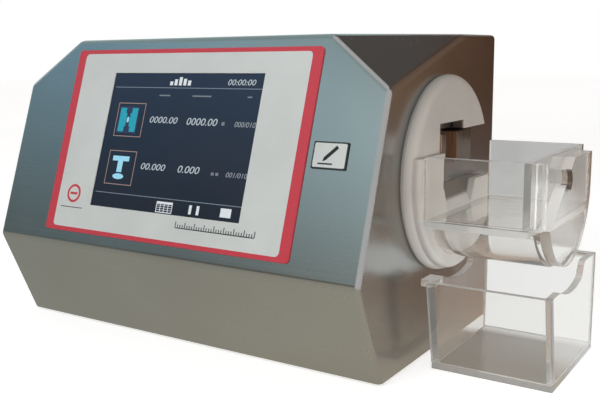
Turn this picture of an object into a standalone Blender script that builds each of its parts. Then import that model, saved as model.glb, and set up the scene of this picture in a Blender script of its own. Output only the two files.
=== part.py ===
# Tablet hardness tester: wedge-shaped steel housing with a tilted touch screen, and on its right side
# a white jaw surround, a clear trough that plugs onto it and a clear collecting box below.
# Metres, Z up. The front looks towards -Y and the jaws are on the +X side.
import math

import bmesh
import bpy
from mathutils import Matrix, Vector

# Clearances
FIT_GAP = 0.0003
RUN_GAP = 0.00008
CUT_OVERRUN = 0.004

# Housing
HOUSING_WIDTH = 0.310
HOUSING_HEIGHT = 0.2077
HOUSING_DEPTH = 0.1784
NOSE_REACH = 0.0271
NOSE_HEIGHT = 0.0649
TOP_SETBACK = 0.0228
CORNER_CUT_ACROSS = 0.0453
CORNER_CUT_DOWN = 0.0350
CORNER_CUT_BACK = 0.1001
SHEET = 0.0015
BEND_RADIUS = 0.0032
BEND_STEPS = 3
REAR_FLANGE = 0.012
BASE_SHEET = 0.002
BASE_LIP = 0.010
FOOT_HEIGHT = 0.0018
FOOT_RADIUS = 0.0075
FOOT_INSET = 0.022

# Front panel
OVERLAY_HALF_WIDTH = 0.1060
OVERLAY_LOW = 0.0093
OVERLAY_TOP_MARGIN = 0.00817
OVERLAY_THICKNESS = 0.0006
OVERLAY_RADIUS = 0.003
SCREEN_HALF_WIDTH = 0.0656
SCREEN_BELOW_MARGIN = 0.0202
SCREEN_ABOVE_MARGIN = 0.0171
SCREEN_MARGIN = 0.003
SCREEN_GLASS = 0.0018
MODULE_MARGIN = 0.007
MODULE_THICKNESS = 0.0085
BRACKET_SHEET = 0.0015
BRACKET_MARGIN = 0.006
BRACKET_WINDOW_MARGIN = 0.018
POST_RADIUS = 0.003
STYLUS_GAP = 0.0044
STYLUS_WIDTH = 0.0238
STYLUS_RISE = 0.0583
STYLUS_HEIGHT = 0.0166

# White jaw surround: its middle is placed from the middle and the top of the housing, the rest from there
SURROUND_BEFORE_MIDDLE = 0.0008
SURROUND_BELOW_TOP = 0.0901
SURROUND_RADIUS = 0.0642
SURROUND_THICKNESS = 0.0076
SURROUND_ROUNDING = 0.0062
SURROUND_STANDOFF = 0.0006
STEP_RADIUS = 0.0622
STEP_THICKNESS = 0.0112
STEP_ROUNDING = 0.0030
STEP_FRONT_RISE = 0.0157
STEP_REAR_DROP = 0.0071
ROUNDING_STEPS = 6
WINDOW_FORWARD = 0.0254
WINDOW_BACKWARD = 0.0131
WINDOW_RISE = 0.0341
SLOT_RISE = 0.0284
CHUTE_TOP_BACKWARD = 0.0296
CHUTE_FOOT_FORWARD = 0.0154
CHUTE_FOOT_BACKWARD = 0.0176
PLUG_DEPTH = 0.0070
SIDE_SLOT_MARGIN = 0.0028

# Jaws
JAW_RISE = 0.0074
JAW_HEIGHT = 0.0200
JAW_REACH = 0.0093
JAW_OPENING = 0.0181
MOVING_JAW_DEPTH = 0.0242
FIXED_JAW_DEPTH = 0.0066
JAW_NECK = 0.0160

# Jaw mechanism inside the housing
SCREW_INSET = 0.0430
SCREW_RADIUS_OUTER = 0.0040
ROD_RADIUS = 0.0040
ROD_SPREAD = 0.0200
FRAME_BEFORE_MIDDLE = 0.0047
FRAME_PLATE = 0.0050
FRAME_BASE = 0.0040
FRAME_INNER = 0.0580
FRAME_OUTER = 0.0030
CARRIAGE_DEPTH = 0.0220
CARRIAGE_REACH_IN = 0.0540
CARRIAGE_ABOVE = 0.0260
BEARING_GAP = 0.0020
COUPLING_LENGTH = 0.0180
COUPLING_RADIUS = 0.0095
MOTOR_SHAFT_RADIUS = 0.0025
MOTOR_SIDE = 0.0420
MOTOR_FROM_BACK = 0.0093
MOTOR_CHAMFER = 0.0050
LOAD_CELL_WIDTH = 0.0240
LOAD_CELL_HEIGHT = 0.0200
LOAD_CELL_HOLE = 0.0060

# Clear trough: heights, and the middle of the end plate, from the middle of the surround
TROUGH_HALF_WIDTH = 0.0567
TROUGH_WALL = 0.0042
TROUGH_RISE = 0.0169
TROUGH_FLOOR_DROP = 0.0218
TROUGH_FRONT_LENGTH = 0.0709
TROUGH_REAR_LENGTH = 0.0634
FRONT_POST_WIDTH = 0.0049
FRONT_POST_DEPTH = 0.0050
SHELL_RADIUS = 0.0533
SHELL_WALL = 0.0030
END_PLATE_THICKNESS = 0.0066
END_PLATE_RADIUS = 0.0458
END_PLATE_BACKWARD = 0.0060
END_PLATE_DROP = 0.0082
END_PLATE_TOP_DROP = 0.0037
END_PLATE_TOP_BACKWARD = 0.0112
END_PLATE_CUT_FORWARD = 0.0414
END_PLATE_CUT_DROP = 0.0160
END_PLATE_HOLE = 0.0068

# Collecting box: places from the middle of the surround, so that the trough always clears it
BOX_FROM_STEP = 0.0009
BOX_LENGTH = 0.0766
BOX_BACKWARD = 0.0460
BOX_FORWARD_TOP = 0.0537
BOX_FORWARD_FOOT = 0.0434
BOX_WALL = 0.0042
BOX_LOW_DROP = 0.0606
BOX_HIGH_DROP = 0.0531
BOX_DIP_RADIUS = 0.0660
BOX_DIP_FORWARD = 0.0084
BOX_DIP_DROP = 0.0661
BOX_DIP_BACKWARD = 0.0116
BOX_STEP_BACKWARD = 0.0196
BOX_TROUGH_CLEARANCE = 0.0030
LIP_REACH = 0.0055
LIP_FORWARD = 0.0344
LIP_THICKNESS = 0.0042

# Rear panel and electronics
PANEL_SHEET = 0.0015
PANEL_INSET = 0.0040
INLET_INSET = 0.0370
INLET_Z = 0.0420
INLET_WIDTH = 0.0480
INLET_HEIGHT = 0.0280
INLET_BODY_WIDTH = 0.0270
INLET_BODY_HEIGHT = 0.0200
INLET_FLANGE = 0.0030
INLET_BODY_DEPTH = 0.0220
INLET_WALL = 0.0015
INLET_CORNER = 0.0040
PIN_WIDTH = 0.0040
PIN_HEIGHT = 0.0020
PIN_LENGTH = 0.0140
PIN_SPREAD = 0.0070
PIN_RISE = 0.0020
SWITCH_FROM_INLET = 0.0460
SWITCH_WIDTH = 0.0210
SWITCH_HEIGHT = 0.0150
SWITCH_FLANGE = 0.0020
SWITCH_BODY_DEPTH = 0.0140
SWITCH_WALL = 0.0020
SWITCH_RIM = 0.0030
ROCKER_RADIUS = 0.0040
ROCKER_PROUD = 0.0015
ROCKER_TILT = math.radians(9.0)
ROCKER_BOW = 0.0010
ROCKER_FOOT_SHARE = 0.8
PORTS_FROM_SWITCH = (0.0500, 0.0960)
PORT_WIDTH = 0.0310
PORT_HEIGHT = 0.0125
PORT_FLANGE = 0.0010
PORT_SHELL_WIDTH = 0.0170
PORT_SHELL_HEIGHT = 0.0085
PORT_SHELL_REACH = 0.0055
PORT_SHELL_TAPER = 0.0012
PORT_BODY_DEPTH = 0.0090
PORT_WALL = 0.0010
VENT_COUNT = 9
VENT_WIDTH = 0.0030
VENT_HEIGHT = 0.0360
VENT_PITCH = 0.0080
VENT_INSET = 0.0650
VENT_BELOW_TOP = 0.0627
PANEL_SCREW_RADIUS = 0.0015
PANEL_SCREW_HEAD = 0.0030
PANEL_SCREW_HEAD_HEIGHT = 0.0018
PANEL_SCREW_LENGTH = 0.0070
PANEL_SCREW_INSET = 0.0065
BOARD_INSET = 0.0150
BOARD_FROM_SUPPLY = 0.0150
BOARD_DEPTH = 0.0750
BOARD_FROM_BACK = 0.0534
BOARD_SHEET = 0.0016
BOARD_POST = 0.0080
BOARD_POST_INSET = 0.0060
BOARD_CHIP = 0.0180
BOARD_CHIP_HEIGHT = 0.0030
SUPPLY_FROM_FRAME = 0.0170
SUPPLY_LENGTH = 0.0900
SUPPLY_DEPTH = 0.0950
SUPPLY_FROM_BACK = 0.0484
SUPPLY_HEIGHT = 0.0380

# Facets
ROUND_STEPS = 32
FINE_STEPS = 72
SMALL_STEPS = 16
SMOOTH_DEGREES = 35
ROUND_BEVEL_SHARE = 0.5

# Front panel, worked out
SIDE_X = HOUSING_WIDTH / 2
EDGE_SEARCH = SHEET / 2
CUTTING_CUBE = 4 * HOUSING_WIDTH
PANEL_RISE = math.hypot(TOP_SETBACK + NOSE_REACH, HOUSING_HEIGHT - NOSE_HEIGHT)
PANEL_ORIGIN = Vector((0, -NOSE_REACH, NOSE_HEIGHT))
PANEL_ACROSS = Vector((1, 0, 0))
PANEL_UP = Vector((0, TOP_SETBACK + NOSE_REACH, HOUSING_HEIGHT - NOSE_HEIGHT)) / PANEL_RISE
PANEL_OUT = PANEL_ACROSS.cross(PANEL_UP)
OVERLAY_HIGH = PANEL_RISE - OVERLAY_TOP_MARGIN
SCREEN_LOW = OVERLAY_LOW + SCREEN_BELOW_MARGIN
SCREEN_HIGH = OVERLAY_HIGH - SCREEN_ABOVE_MARGIN
STYLUS_LEFT = OVERLAY_HALF_WIDTH + STYLUS_GAP
STYLUS_RIGHT = STYLUS_LEFT + STYLUS_WIDTH
STYLUS_LOW = OVERLAY_LOW + STYLUS_RISE
STYLUS_HIGH = STYLUS_LOW + STYLUS_HEIGHT

# Jaw surround and jaws, worked out
SURROUND_Y = HOUSING_DEPTH / 2 - SURROUND_BEFORE_MIDDLE
SURROUND_Z = HOUSING_HEIGHT - SURROUND_BELOW_TOP
SURROUND_BACK_X = SIDE_X + SURROUND_STANDOFF
SURROUND_FACE_X = SURROUND_BACK_X + SURROUND_THICKNESS
BACK_ROUNDING = SHEET / 2
STEP_BACK_X = SURROUND_BACK_X + BACK_ROUNDING
STEP_FACE_X = SURROUND_BACK_X + STEP_THICKNESS
STEP_FRONT_TOP = SURROUND_Z + STEP_FRONT_RISE
STEP_REAR_TOP = SURROUND_Z - STEP_REAR_DROP
WINDOW_FRONT = SURROUND_Y - WINDOW_FORWARD
WINDOW_BACK = SURROUND_Y + WINDOW_BACKWARD
WINDOW_TOP = SURROUND_Z + WINDOW_RISE
SLOT_TOP = SURROUND_Z + SLOT_RISE
CHUTE_TOP_BACK = SURROUND_Y + CHUTE_TOP_BACKWARD
CHUTE_FOOT_FRONT = SURROUND_Y - CHUTE_FOOT_FORWARD
CHUTE_FOOT_BACK = SURROUND_Y + CHUTE_FOOT_BACKWARD
JAW_LOW = SURROUND_Z + JAW_RISE
JAW_HIGH = JAW_LOW + JAW_HEIGHT
JAW_MIDDLE_Z = (JAW_LOW + JAW_HIGH) / 2
JAW_END_X = SIDE_X + JAW_REACH
FIXED_JAW_FRONT = WINDOW_FRONT + FIT_GAP
FIXED_JAW_BACK = FIXED_JAW_FRONT + FIXED_JAW_DEPTH
MOVING_JAW_FRONT = FIXED_JAW_BACK + JAW_OPENING
MOVING_JAW_BACK = MOVING_JAW_FRONT + MOVING_JAW_DEPTH
SIDE_SLOT_BACK = MOVING_JAW_BACK + SIDE_SLOT_MARGIN

# Jaw mechanism, worked out
SCREW_X = SIDE_X - SCREW_INSET
FRAME_TOP = JAW_MIDDLE_Z + CARRIAGE_ABOVE
PANEL_LEAN = (TOP_SETBACK + NOSE_REACH) / (HOUSING_HEIGHT - NOSE_HEIGHT)
PANEL_Y_AT_FRAME = (FRAME_TOP - NOSE_HEIGHT) * PANEL_LEAN - NOSE_REACH
FRAME_FRONT = (PANEL_Y_AT_FRAME + WINDOW_FRONT) / 2 - FRAME_BEFORE_MIDDLE
FRAME_FRONT_BACK = FRAME_FRONT + FRAME_PLATE
CARRIAGE_FRONT = MOVING_JAW_FRONT
CARRIAGE_BACK = CARRIAGE_FRONT + CARRIAGE_DEPTH
BEARING_FRONT = MOVING_JAW_BACK + BEARING_GAP
BEARING_BACK = BEARING_FRONT + FRAME_PLATE
COUPLING_FRONT = BEARING_BACK + FIT_GAP
COUPLING_BACK = COUPLING_FRONT + COUPLING_LENGTH
MOTOR_PLATE_FRONT = COUPLING_BACK + FIT_GAP
MOTOR_PLATE_BACK = MOTOR_PLATE_FRONT + FRAME_PLATE
MOTOR_FRONT = MOTOR_PLATE_BACK + FIT_GAP
MOTOR_BACK = HOUSING_DEPTH - MOTOR_FROM_BACK

# Trough and box, worked out
TROUGH_LEFT = STEP_FACE_X + FIT_GAP
TROUGH_END = TROUGH_LEFT + TROUGH_REAR_LENGTH
TROUGH_FRONT_END = TROUGH_LEFT + TROUGH_FRONT_LENGTH
TROUGH_FRONT_Y = SURROUND_Y - TROUGH_HALF_WIDTH
TROUGH_BACK_Y = SURROUND_Y + TROUGH_HALF_WIDTH
TROUGH_TOP = SURROUND_Z + TROUGH_RISE
TROUGH_FLOOR_TOP = SURROUND_Z - TROUGH_FLOOR_DROP
BOX_LEFT = STEP_FACE_X + BOX_FROM_STEP
BOX_RIGHT = BOX_LEFT + BOX_LENGTH
BOX_BACK = SURROUND_Y + BOX_BACKWARD
BOX_FRONT_TOP = SURROUND_Y - BOX_FORWARD_TOP
BOX_FRONT_FOOT = SURROUND_Y - BOX_FORWARD_FOOT
BOX_LOW_TOP = SURROUND_Z - BOX_LOW_DROP
BOX_HIGH_TOP = SURROUND_Z - BOX_HIGH_DROP
BOX_DIP_LOW = SURROUND_Z - BOX_DIP_DROP
BOX_DIP_BACK = SURROUND_Y + BOX_DIP_BACKWARD
BOX_STEP_BACK = SURROUND_Y + BOX_STEP_BACKWARD

# Rear panel and electronics, worked out
PANEL_FRONT_Y = HOUSING_DEPTH + FIT_GAP
PANEL_BACK_Y = PANEL_FRONT_Y + PANEL_SHEET
INLET_X = -SIDE_X + INLET_INSET
SWITCH_X = INLET_X + SWITCH_FROM_INLET
PORT_X = [SWITCH_X + distance for distance in PORTS_FROM_SWITCH]
VENT_X = SIDE_X - VENT_INSET
VENT_Z = HOUSING_HEIGHT - VENT_BELOW_TOP
SUPPLY_RIGHT = SIDE_X - FRAME_INNER - SUPPLY_FROM_FRAME
SUPPLY_LEFT = SUPPLY_RIGHT - SUPPLY_LENGTH
SUPPLY_BACK = HOUSING_DEPTH - SUPPLY_FROM_BACK
SUPPLY_FRONT = SUPPLY_BACK - SUPPLY_DEPTH
BOARD_LEFT = -SIDE_X + BOARD_INSET
BOARD_RIGHT = SUPPLY_LEFT - BOARD_FROM_SUPPLY
BOARD_BACK = HOUSING_DEPTH - BOARD_FROM_BACK
BOARD_FRONT = BOARD_BACK - BOARD_DEPTH

AXIS_X = (Vector((0, 1, 0)), Vector((0, 0, 1)), Vector((1, 0, 0)))
AXIS_Y = (Vector((1, 0, 0)), Vector((0, 0, 1)), Vector((0, 1, 0)))
AXIS_Z = (Vector((1, 0, 0)), Vector((0, 1, 0)), Vector((0, 0, 1)))
PANEL_AXES = (PANEL_ACROSS, PANEL_UP, PANEL_OUT)
ZERO = Vector((0, 0, 0))

# Colour, roughness, metallic
STEEL = ((0.50, 0.51, 0.51), 0.32, 1.0)
BRIGHT_STEEL = ((0.62, 0.62, 0.62), 0.18, 1.0)
DARK_STEEL = ((0.20, 0.19, 0.18), 0.30, 1.0)
ALUMINIUM = ((0.68, 0.69, 0.70), 0.40, 1.0)
WHITE_PLASTIC = ((0.82, 0.83, 0.82), 0.45, 0.0)
LABEL_PLASTIC = ((0.80, 0.82, 0.84), 0.40, 0.0)
CLEAR_PLASTIC = ((0.86, 0.90, 0.90), 0.05, 0.0)
SCREEN_GLASS_LOOK = ((0.02, 0.03, 0.05), 0.10, 0.0)
BLACK_PLASTIC = ((0.03, 0.03, 0.03), 0.45, 0.0)
BOARD_GREEN = ((0.02, 0.20, 0.09), 0.50, 0.0)
RUBBER_BLACK = ((0.04, 0.04, 0.04), 0.80, 0.0)
BRASS_LOOK = ((0.72, 0.55, 0.25), 0.30, 1.0)


def clear_scene():
    for item in list(bpy.data.objects):
        bpy.data.objects.remove(item, do_unlink=True)


def make_material(name, look):
    colour, roughness, metallic = look
    material = bpy.data.materials.new(name)
    material.use_nodes = True
    shader = material.node_tree.nodes["Principled BSDF"]
    shader.inputs["Base Color"].default_value = (*colour, 1.0)
    shader.inputs["Roughness"].default_value = roughness
    shader.inputs["Metallic"].default_value = metallic
    return material


def wrap(bm, name="shape"):
    """Object in housing coordinates from a closed bmesh."""
    bmesh.ops.recalc_face_normals(bm, faces=bm.faces[:])
    mesh = bpy.data.meshes.new(name)
    bm.to_mesh(mesh)
    bm.free()
    item = bpy.data.objects.new(name, mesh)
    bpy.context.scene.collection.objects.link(item)
    return item


def combine(target, other, operation):
    """Boolean of two objects, written back into the first; the second is removed."""
    modifier = target.modifiers.new("combine", "BOOLEAN")
    modifier.operation = operation
    modifier.solver = "EXACT"
    modifier.object = other
    graph = bpy.context.evaluated_depsgraph_get()
    mesh = bpy.data.meshes.new_from_object(target.evaluated_get(graph))
    target.modifiers.clear()
    target.data = mesh
    bpy.data.objects.remove(other, do_unlink=True)
    return target


def cut(target, *cutters):
    for cutter in cutters:
        combine(target, cutter, "DIFFERENCE")
    return target


def join(target, *others):
    for other in others:
        combine(target, other, "UNION")
    return target


def finish(item, name, look, origin=ZERO, smooth_degrees=None):
    """Name the piece, give it its own material and put its origin where it turns or slides."""
    item.name = name
    item.data.name = name
    item.data.materials.clear()
    item.data.materials.append(make_material(name + "_look", look))
    item.data.transform(Matrix.Translation(-Vector(origin)))
    item.location = Vector(origin)
    item.data.polygons.foreach_set("use_smooth", [False] * len(item.data.polygons))
    if smooth_degrees is not None:
        item.data.shade_smooth()
        item.data.set_sharp_from_angle(angle=math.radians(smooth_degrees))
    return item


def prism(outline, axes, start, end, origin=ZERO):
    """Closed solid: a flat outline pushed along the third axis from start to end."""
    across, up, along = axes
    bm = bmesh.new()
    low = [bm.verts.new(origin + across * a + up * b + along * start) for a, b in outline]
    high = [bm.verts.new(origin + across * a + up * b + along * end) for a, b in outline]
    bm.faces.new(low)
    bm.faces.new(list(reversed(high)))
    count = len(outline)
    for i in range(count):
        j = (i + 1) % count
        bm.faces.new((low[i], high[i], high[j], low[j]))
    return wrap(bm)


def block(x_range, y_range, z_range):
    outline = rectangle(x_range, y_range)
    return prism(outline, AXIS_Z, z_range[0], z_range[1])


def hull(points):
    bm = bmesh.new()
    for point in points:
        bm.verts.new(point)
    bmesh.ops.convex_hull(bm, input=bm.verts[:])
    return wrap(bm)


def rectangle(a_range, b_range):
    return [
        (a_range[0], b_range[0]),
        (a_range[1], b_range[0]),
        (a_range[1], b_range[1]),
        (a_range[0], b_range[1]),
    ]


def arc(centre, radius, start_degrees, end_degrees, steps):
    points = []
    for i in range(steps + 1):
        angle = math.radians(start_degrees + (end_degrees - start_degrees) * i / steps)
        points.append((centre[0] + radius * math.cos(angle), centre[1] + radius * math.sin(angle)))
    return points


def circle(centre, radius, steps):
    return arc(centre, radius, 0, 360, steps)[:-1]


def rounded_rectangle(a_range, b_range, radius):
    quarter = BEND_STEPS
    points = []
    points += arc((a_range[1] - radius, b_range[0] + radius), radius, -90, 0, quarter)
    points += arc((a_range[1] - radius, b_range[1] - radius), radius, 0, 90, quarter)
    points += arc((a_range[0] + radius, b_range[1] - radius), radius, 90, 180, quarter)
    points += arc((a_range[0] + radius, b_range[0] + radius), radius, 180, 270, quarter)
    return points


def rod(axes, centre, radius, start, end, steps=ROUND_STEPS):
    """Round bar along the third axis; centre is given on the first two."""
    return prism(circle(centre, radius, steps), axes, start, end)


def disc(profile, centre, steps):
    """Solid of revolution about an axis along X; the profile holds (radius, x) pairs."""
    bm = bmesh.new()
    rings = []
    for radius, x in profile:
        ring = []
        for i in range(steps):
            angle = 2 * math.pi * i / steps
            y = centre[0] + radius * math.cos(angle)
            z = centre[1] + radius * math.sin(angle)
            ring.append(bm.verts.new((x, y, z)))
        rings.append(ring)
    bm.faces.new(rings[0])
    bm.faces.new(list(reversed(rings[-1])))
    for first, second in zip(rings, rings[1:]):
        for i in range(steps):
            j = (i + 1) % steps
            bm.faces.new((first[i], second[i], second[j], first[j]))
    return wrap(bm)


def rounded_disc(radius, back_x, face_x, rounding, back_rounding, centre, steps):
    profile = [(r + radius - back_rounding, back_x + back_rounding - d)
               for r, d in arc(ZERO, back_rounding, 90, 0, BEND_STEPS)]
    profile += [(r + radius - rounding, face_x - rounding + d)
                for r, d in arc(ZERO, rounding, 0, 90, ROUNDING_STEPS)]
    return disc(profile, centre, steps)


def solid_from_planes(planes, reach):
    """Convex solid: a large cube cut down by each (point, outward normal) plane."""
    bm = bmesh.new()
    bmesh.ops.create_cube(bm, size=reach)
    for point, normal in planes:
        geometry = bm.verts[:] + bm.edges[:] + bm.faces[:]
        result = bmesh.ops.bisect_plane(
            bm, geom=geometry, plane_co=point, plane_no=normal, clear_outer=True)
        edges = [part for part in result["geom_cut"] if isinstance(part, bmesh.types.BMEdge)]
        bmesh.ops.holes_fill(bm, edges=edges)
    return bm


def housing_planes(inset):
    """Outer faces of the housing, each moved inwards by the inset."""
    nose = Vector((0, -NOSE_REACH, NOSE_HEIGHT))
    top_front = Vector((0, TOP_SETBACK, HOUSING_HEIGHT))
    lower_out = Vector((0, -NOSE_HEIGHT, -NOSE_REACH)).normalized()
    faces = [
        (Vector((0, 0, HOUSING_HEIGHT)), Vector((0, 0, 1))),
        (Vector((SIDE_X, 0, 0)), Vector((1, 0, 0))),
        (Vector((-SIDE_X, 0, 0)), Vector((-1, 0, 0))),
        (nose, lower_out),
        (nose, PANEL_OUT),
    ]
    for side in (1, -1):
        across = Vector((side * (SIDE_X - CORNER_CUT_ACROSS), TOP_SETBACK, HOUSING_HEIGHT))
        down = top_front - PANEL_UP * CORNER_CUT_DOWN
        down.x = side * SIDE_X
        back = Vector((side * SIDE_X, TOP_SETBACK + CORNER_CUT_BACK, HOUSING_HEIGHT))
        normal = (down - across).cross(back - across).normalized()
        if normal.x * side < 0:
            normal.negate()
        faces.append((across, normal))
    return [(point - normal * inset, normal) for point, normal in faces]


def housing_solid(inset, bottom_z, back_y, radius):
    planes = housing_planes(inset)
    planes.append((Vector((0, 0, bottom_z)), Vector((0, 0, -1))))
    planes.append((Vector((0, back_y, 0)), Vector((0, 1, 0))))
    bm = solid_from_planes(planes, CUTTING_CUBE)
    edges = []
    for edge in bm.edges:
        middle = (edge.verts[0].co + edge.verts[1].co) / 2
        at_bottom = abs(middle.z - bottom_z) < EDGE_SEARCH
        at_back = abs(middle.y - back_y) < EDGE_SEARCH
        if not at_bottom and not at_back:
            edges.append(edge)
    bmesh.ops.bevel(bm, geom=edges, offset=radius, segments=BEND_STEPS,
                    profile=ROUND_BEVEL_SHARE, affect="EDGES")
    return wrap(bm)


def make_hood():
    hood = housing_solid(0, 0, HOUSING_DEPTH, BEND_RADIUS)
    inner = housing_solid(SHEET, -CUT_OVERRUN, HOUSING_DEPTH - SHEET, BEND_RADIUS - SHEET)
    cut(hood, inner)
    opening = block(
        (-SIDE_X + REAR_FLANGE, SIDE_X - REAR_FLANGE),
        (HOUSING_DEPTH - SHEET - CUT_OVERRUN, HOUSING_DEPTH + CUT_OVERRUN),
        (REAR_FLANGE, HOUSING_HEIGHT - REAR_FLANGE))
    half = SCREEN_HALF_WIDTH + SCREEN_MARGIN + FIT_GAP
    margin = SCREEN_MARGIN + FIT_GAP
    display = prism(
        rectangle((-half, half), (SCREEN_LOW - margin, SCREEN_HIGH + margin)),
        PANEL_AXES, -CUT_OVERRUN, CUT_OVERRUN, PANEL_ORIGIN)
    slot = block(
        (SIDE_X - CUT_OVERRUN, SIDE_X + CUT_OVERRUN),
        (WINDOW_FRONT - FIT_GAP, SIDE_SLOT_BACK),
        (JAW_LOW - SHEET, JAW_HIGH + SHEET))
    cut(hood, opening, display, slot)
    for x, z in panel_screw_places():
        hole = rod(AXIS_Y, (x, z), PANEL_SCREW_RADIUS + FIT_GAP,
                   HOUSING_DEPTH - CUT_OVERRUN, HOUSING_DEPTH + CUT_OVERRUN, SMALL_STEPS)
        cut(hood, hole)
    finish(hood, "hood", STEEL, smooth_degrees=SMOOTH_DEGREES)


def panel_screw_places():
    x = SIDE_X - PANEL_SCREW_INSET
    low = PANEL_SCREW_INSET
    high = HOUSING_HEIGHT - PANEL_SCREW_INSET
    return [(-x, low), (0, low), (x, low), (-x, high), (0, high), (x, high)]


def make_base():
    inside = SIDE_X - SHEET - FIT_GAP
    front = FIT_GAP + SHEET * HOUSING_HEIGHT / (HOUSING_HEIGHT - NOSE_HEIGHT)
    back = HOUSING_DEPTH - SHEET - FIT_GAP
    base = block((-inside, inside), (front, back), (0, BASE_SHEET))
    for side in (-1, 1):
        lip = block(
            sorted((side * inside, side * (inside - BASE_SHEET))),
            (front, back),
            (0, BASE_LIP))
        join(base, lip)
    finish(base, "base_plate", ALUMINIUM)
    for number, (x, y) in enumerate([
            (-SIDE_X + FOOT_INSET, FOOT_INSET), (SIDE_X - FOOT_INSET, FOOT_INSET),
            (-SIDE_X + FOOT_INSET, HOUSING_DEPTH - FOOT_INSET),
            (SIDE_X - FOOT_INSET, HOUSING_DEPTH - FOOT_INSET)], start=1):
        foot = rod(AXIS_Z, (x, y), FOOT_RADIUS, -FOOT_HEIGHT, -FIT_GAP, ROUND_STEPS)
        finish(foot, "foot_%d" % number, RUBBER_BLACK, smooth_degrees=SMOOTH_DEGREES)


def make_front_panel():
    across = (-OVERLAY_HALF_WIDTH, OVERLAY_HALF_WIDTH)
    overlay = prism(
        rounded_rectangle(across, (OVERLAY_LOW, OVERLAY_HIGH), OVERLAY_RADIUS),
        PANEL_AXES, FIT_GAP, FIT_GAP + OVERLAY_THICKNESS, PANEL_ORIGIN)
    window = prism(
        rectangle((-SCREEN_HALF_WIDTH, SCREEN_HALF_WIDTH), (SCREEN_LOW, SCREEN_HIGH)),
        PANEL_AXES, -CUT_OVERRUN, CUT_OVERRUN, PANEL_ORIGIN)
    cut(overlay, window)
    finish(overlay, "front_overlay", LABEL_PLASTIC)
    stylus = prism(
        rounded_rectangle((STYLUS_LEFT, STYLUS_RIGHT), (STYLUS_LOW, STYLUS_HIGH), OVERLAY_THICKNESS),
        PANEL_AXES, FIT_GAP, FIT_GAP + OVERLAY_THICKNESS, PANEL_ORIGIN)
    finish(stylus, "stylus_label", LABEL_PLASTIC)
    half = SCREEN_HALF_WIDTH + SCREEN_MARGIN
    glass = prism(
        rectangle((-half, half), (SCREEN_LOW - SCREEN_MARGIN, SCREEN_HIGH + SCREEN_MARGIN)),
        PANEL_AXES, -SCREEN_GLASS, 0, PANEL_ORIGIN)
    finish(glass, "touch_screen", SCREEN_GLASS_LOOK)
    half = SCREEN_HALF_WIDTH + MODULE_MARGIN
    module_front = -SCREEN_GLASS - FIT_GAP
    module_back = module_front - MODULE_THICKNESS
    module = prism(
        rectangle((-half, half), (SCREEN_LOW - MODULE_MARGIN, SCREEN_HIGH + MODULE_MARGIN)),
        PANEL_AXES, module_back, module_front, PANEL_ORIGIN)
    finish(module, "display_module", DARK_STEEL)
    bracket_front = module_back - FIT_GAP
    bracket_back = bracket_front - BRACKET_SHEET
    post_across = half + FIT_GAP + POST_RADIUS
    outer = post_across + BRACKET_MARGIN
    bracket = prism(
        rectangle((-outer, outer), (SCREEN_LOW - MODULE_MARGIN, SCREEN_HIGH + MODULE_MARGIN)),
        PANEL_AXES, bracket_back, bracket_front, PANEL_ORIGIN)
    inner = half - BRACKET_WINDOW_MARGIN
    window_up = (SCREEN_LOW + BRACKET_WINDOW_MARGIN, SCREEN_HIGH - BRACKET_WINDOW_MARGIN)
    hole = prism(
        rectangle((-inner, inner), window_up),
        PANEL_AXES, bracket_back - CUT_OVERRUN, bracket_front + CUT_OVERRUN, PANEL_ORIGIN)
    cut(bracket, hole)
    finish(bracket, "display_bracket", ALUMINIUM)
    number = 0
    for across in (-post_across, post_across):
        for up in (SCREEN_LOW + POST_RADIUS, SCREEN_HIGH - POST_RADIUS):
            number += 1
            post = prism(
                circle((across, up), POST_RADIUS, SMALL_STEPS),
                PANEL_AXES, bracket_front + FIT_GAP, -SHEET - FIT_GAP, PANEL_ORIGIN)
            finish(post, "display_post_%d" % number, BRASS_LOOK, smooth_degrees=SMOOTH_DEGREES)


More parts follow.
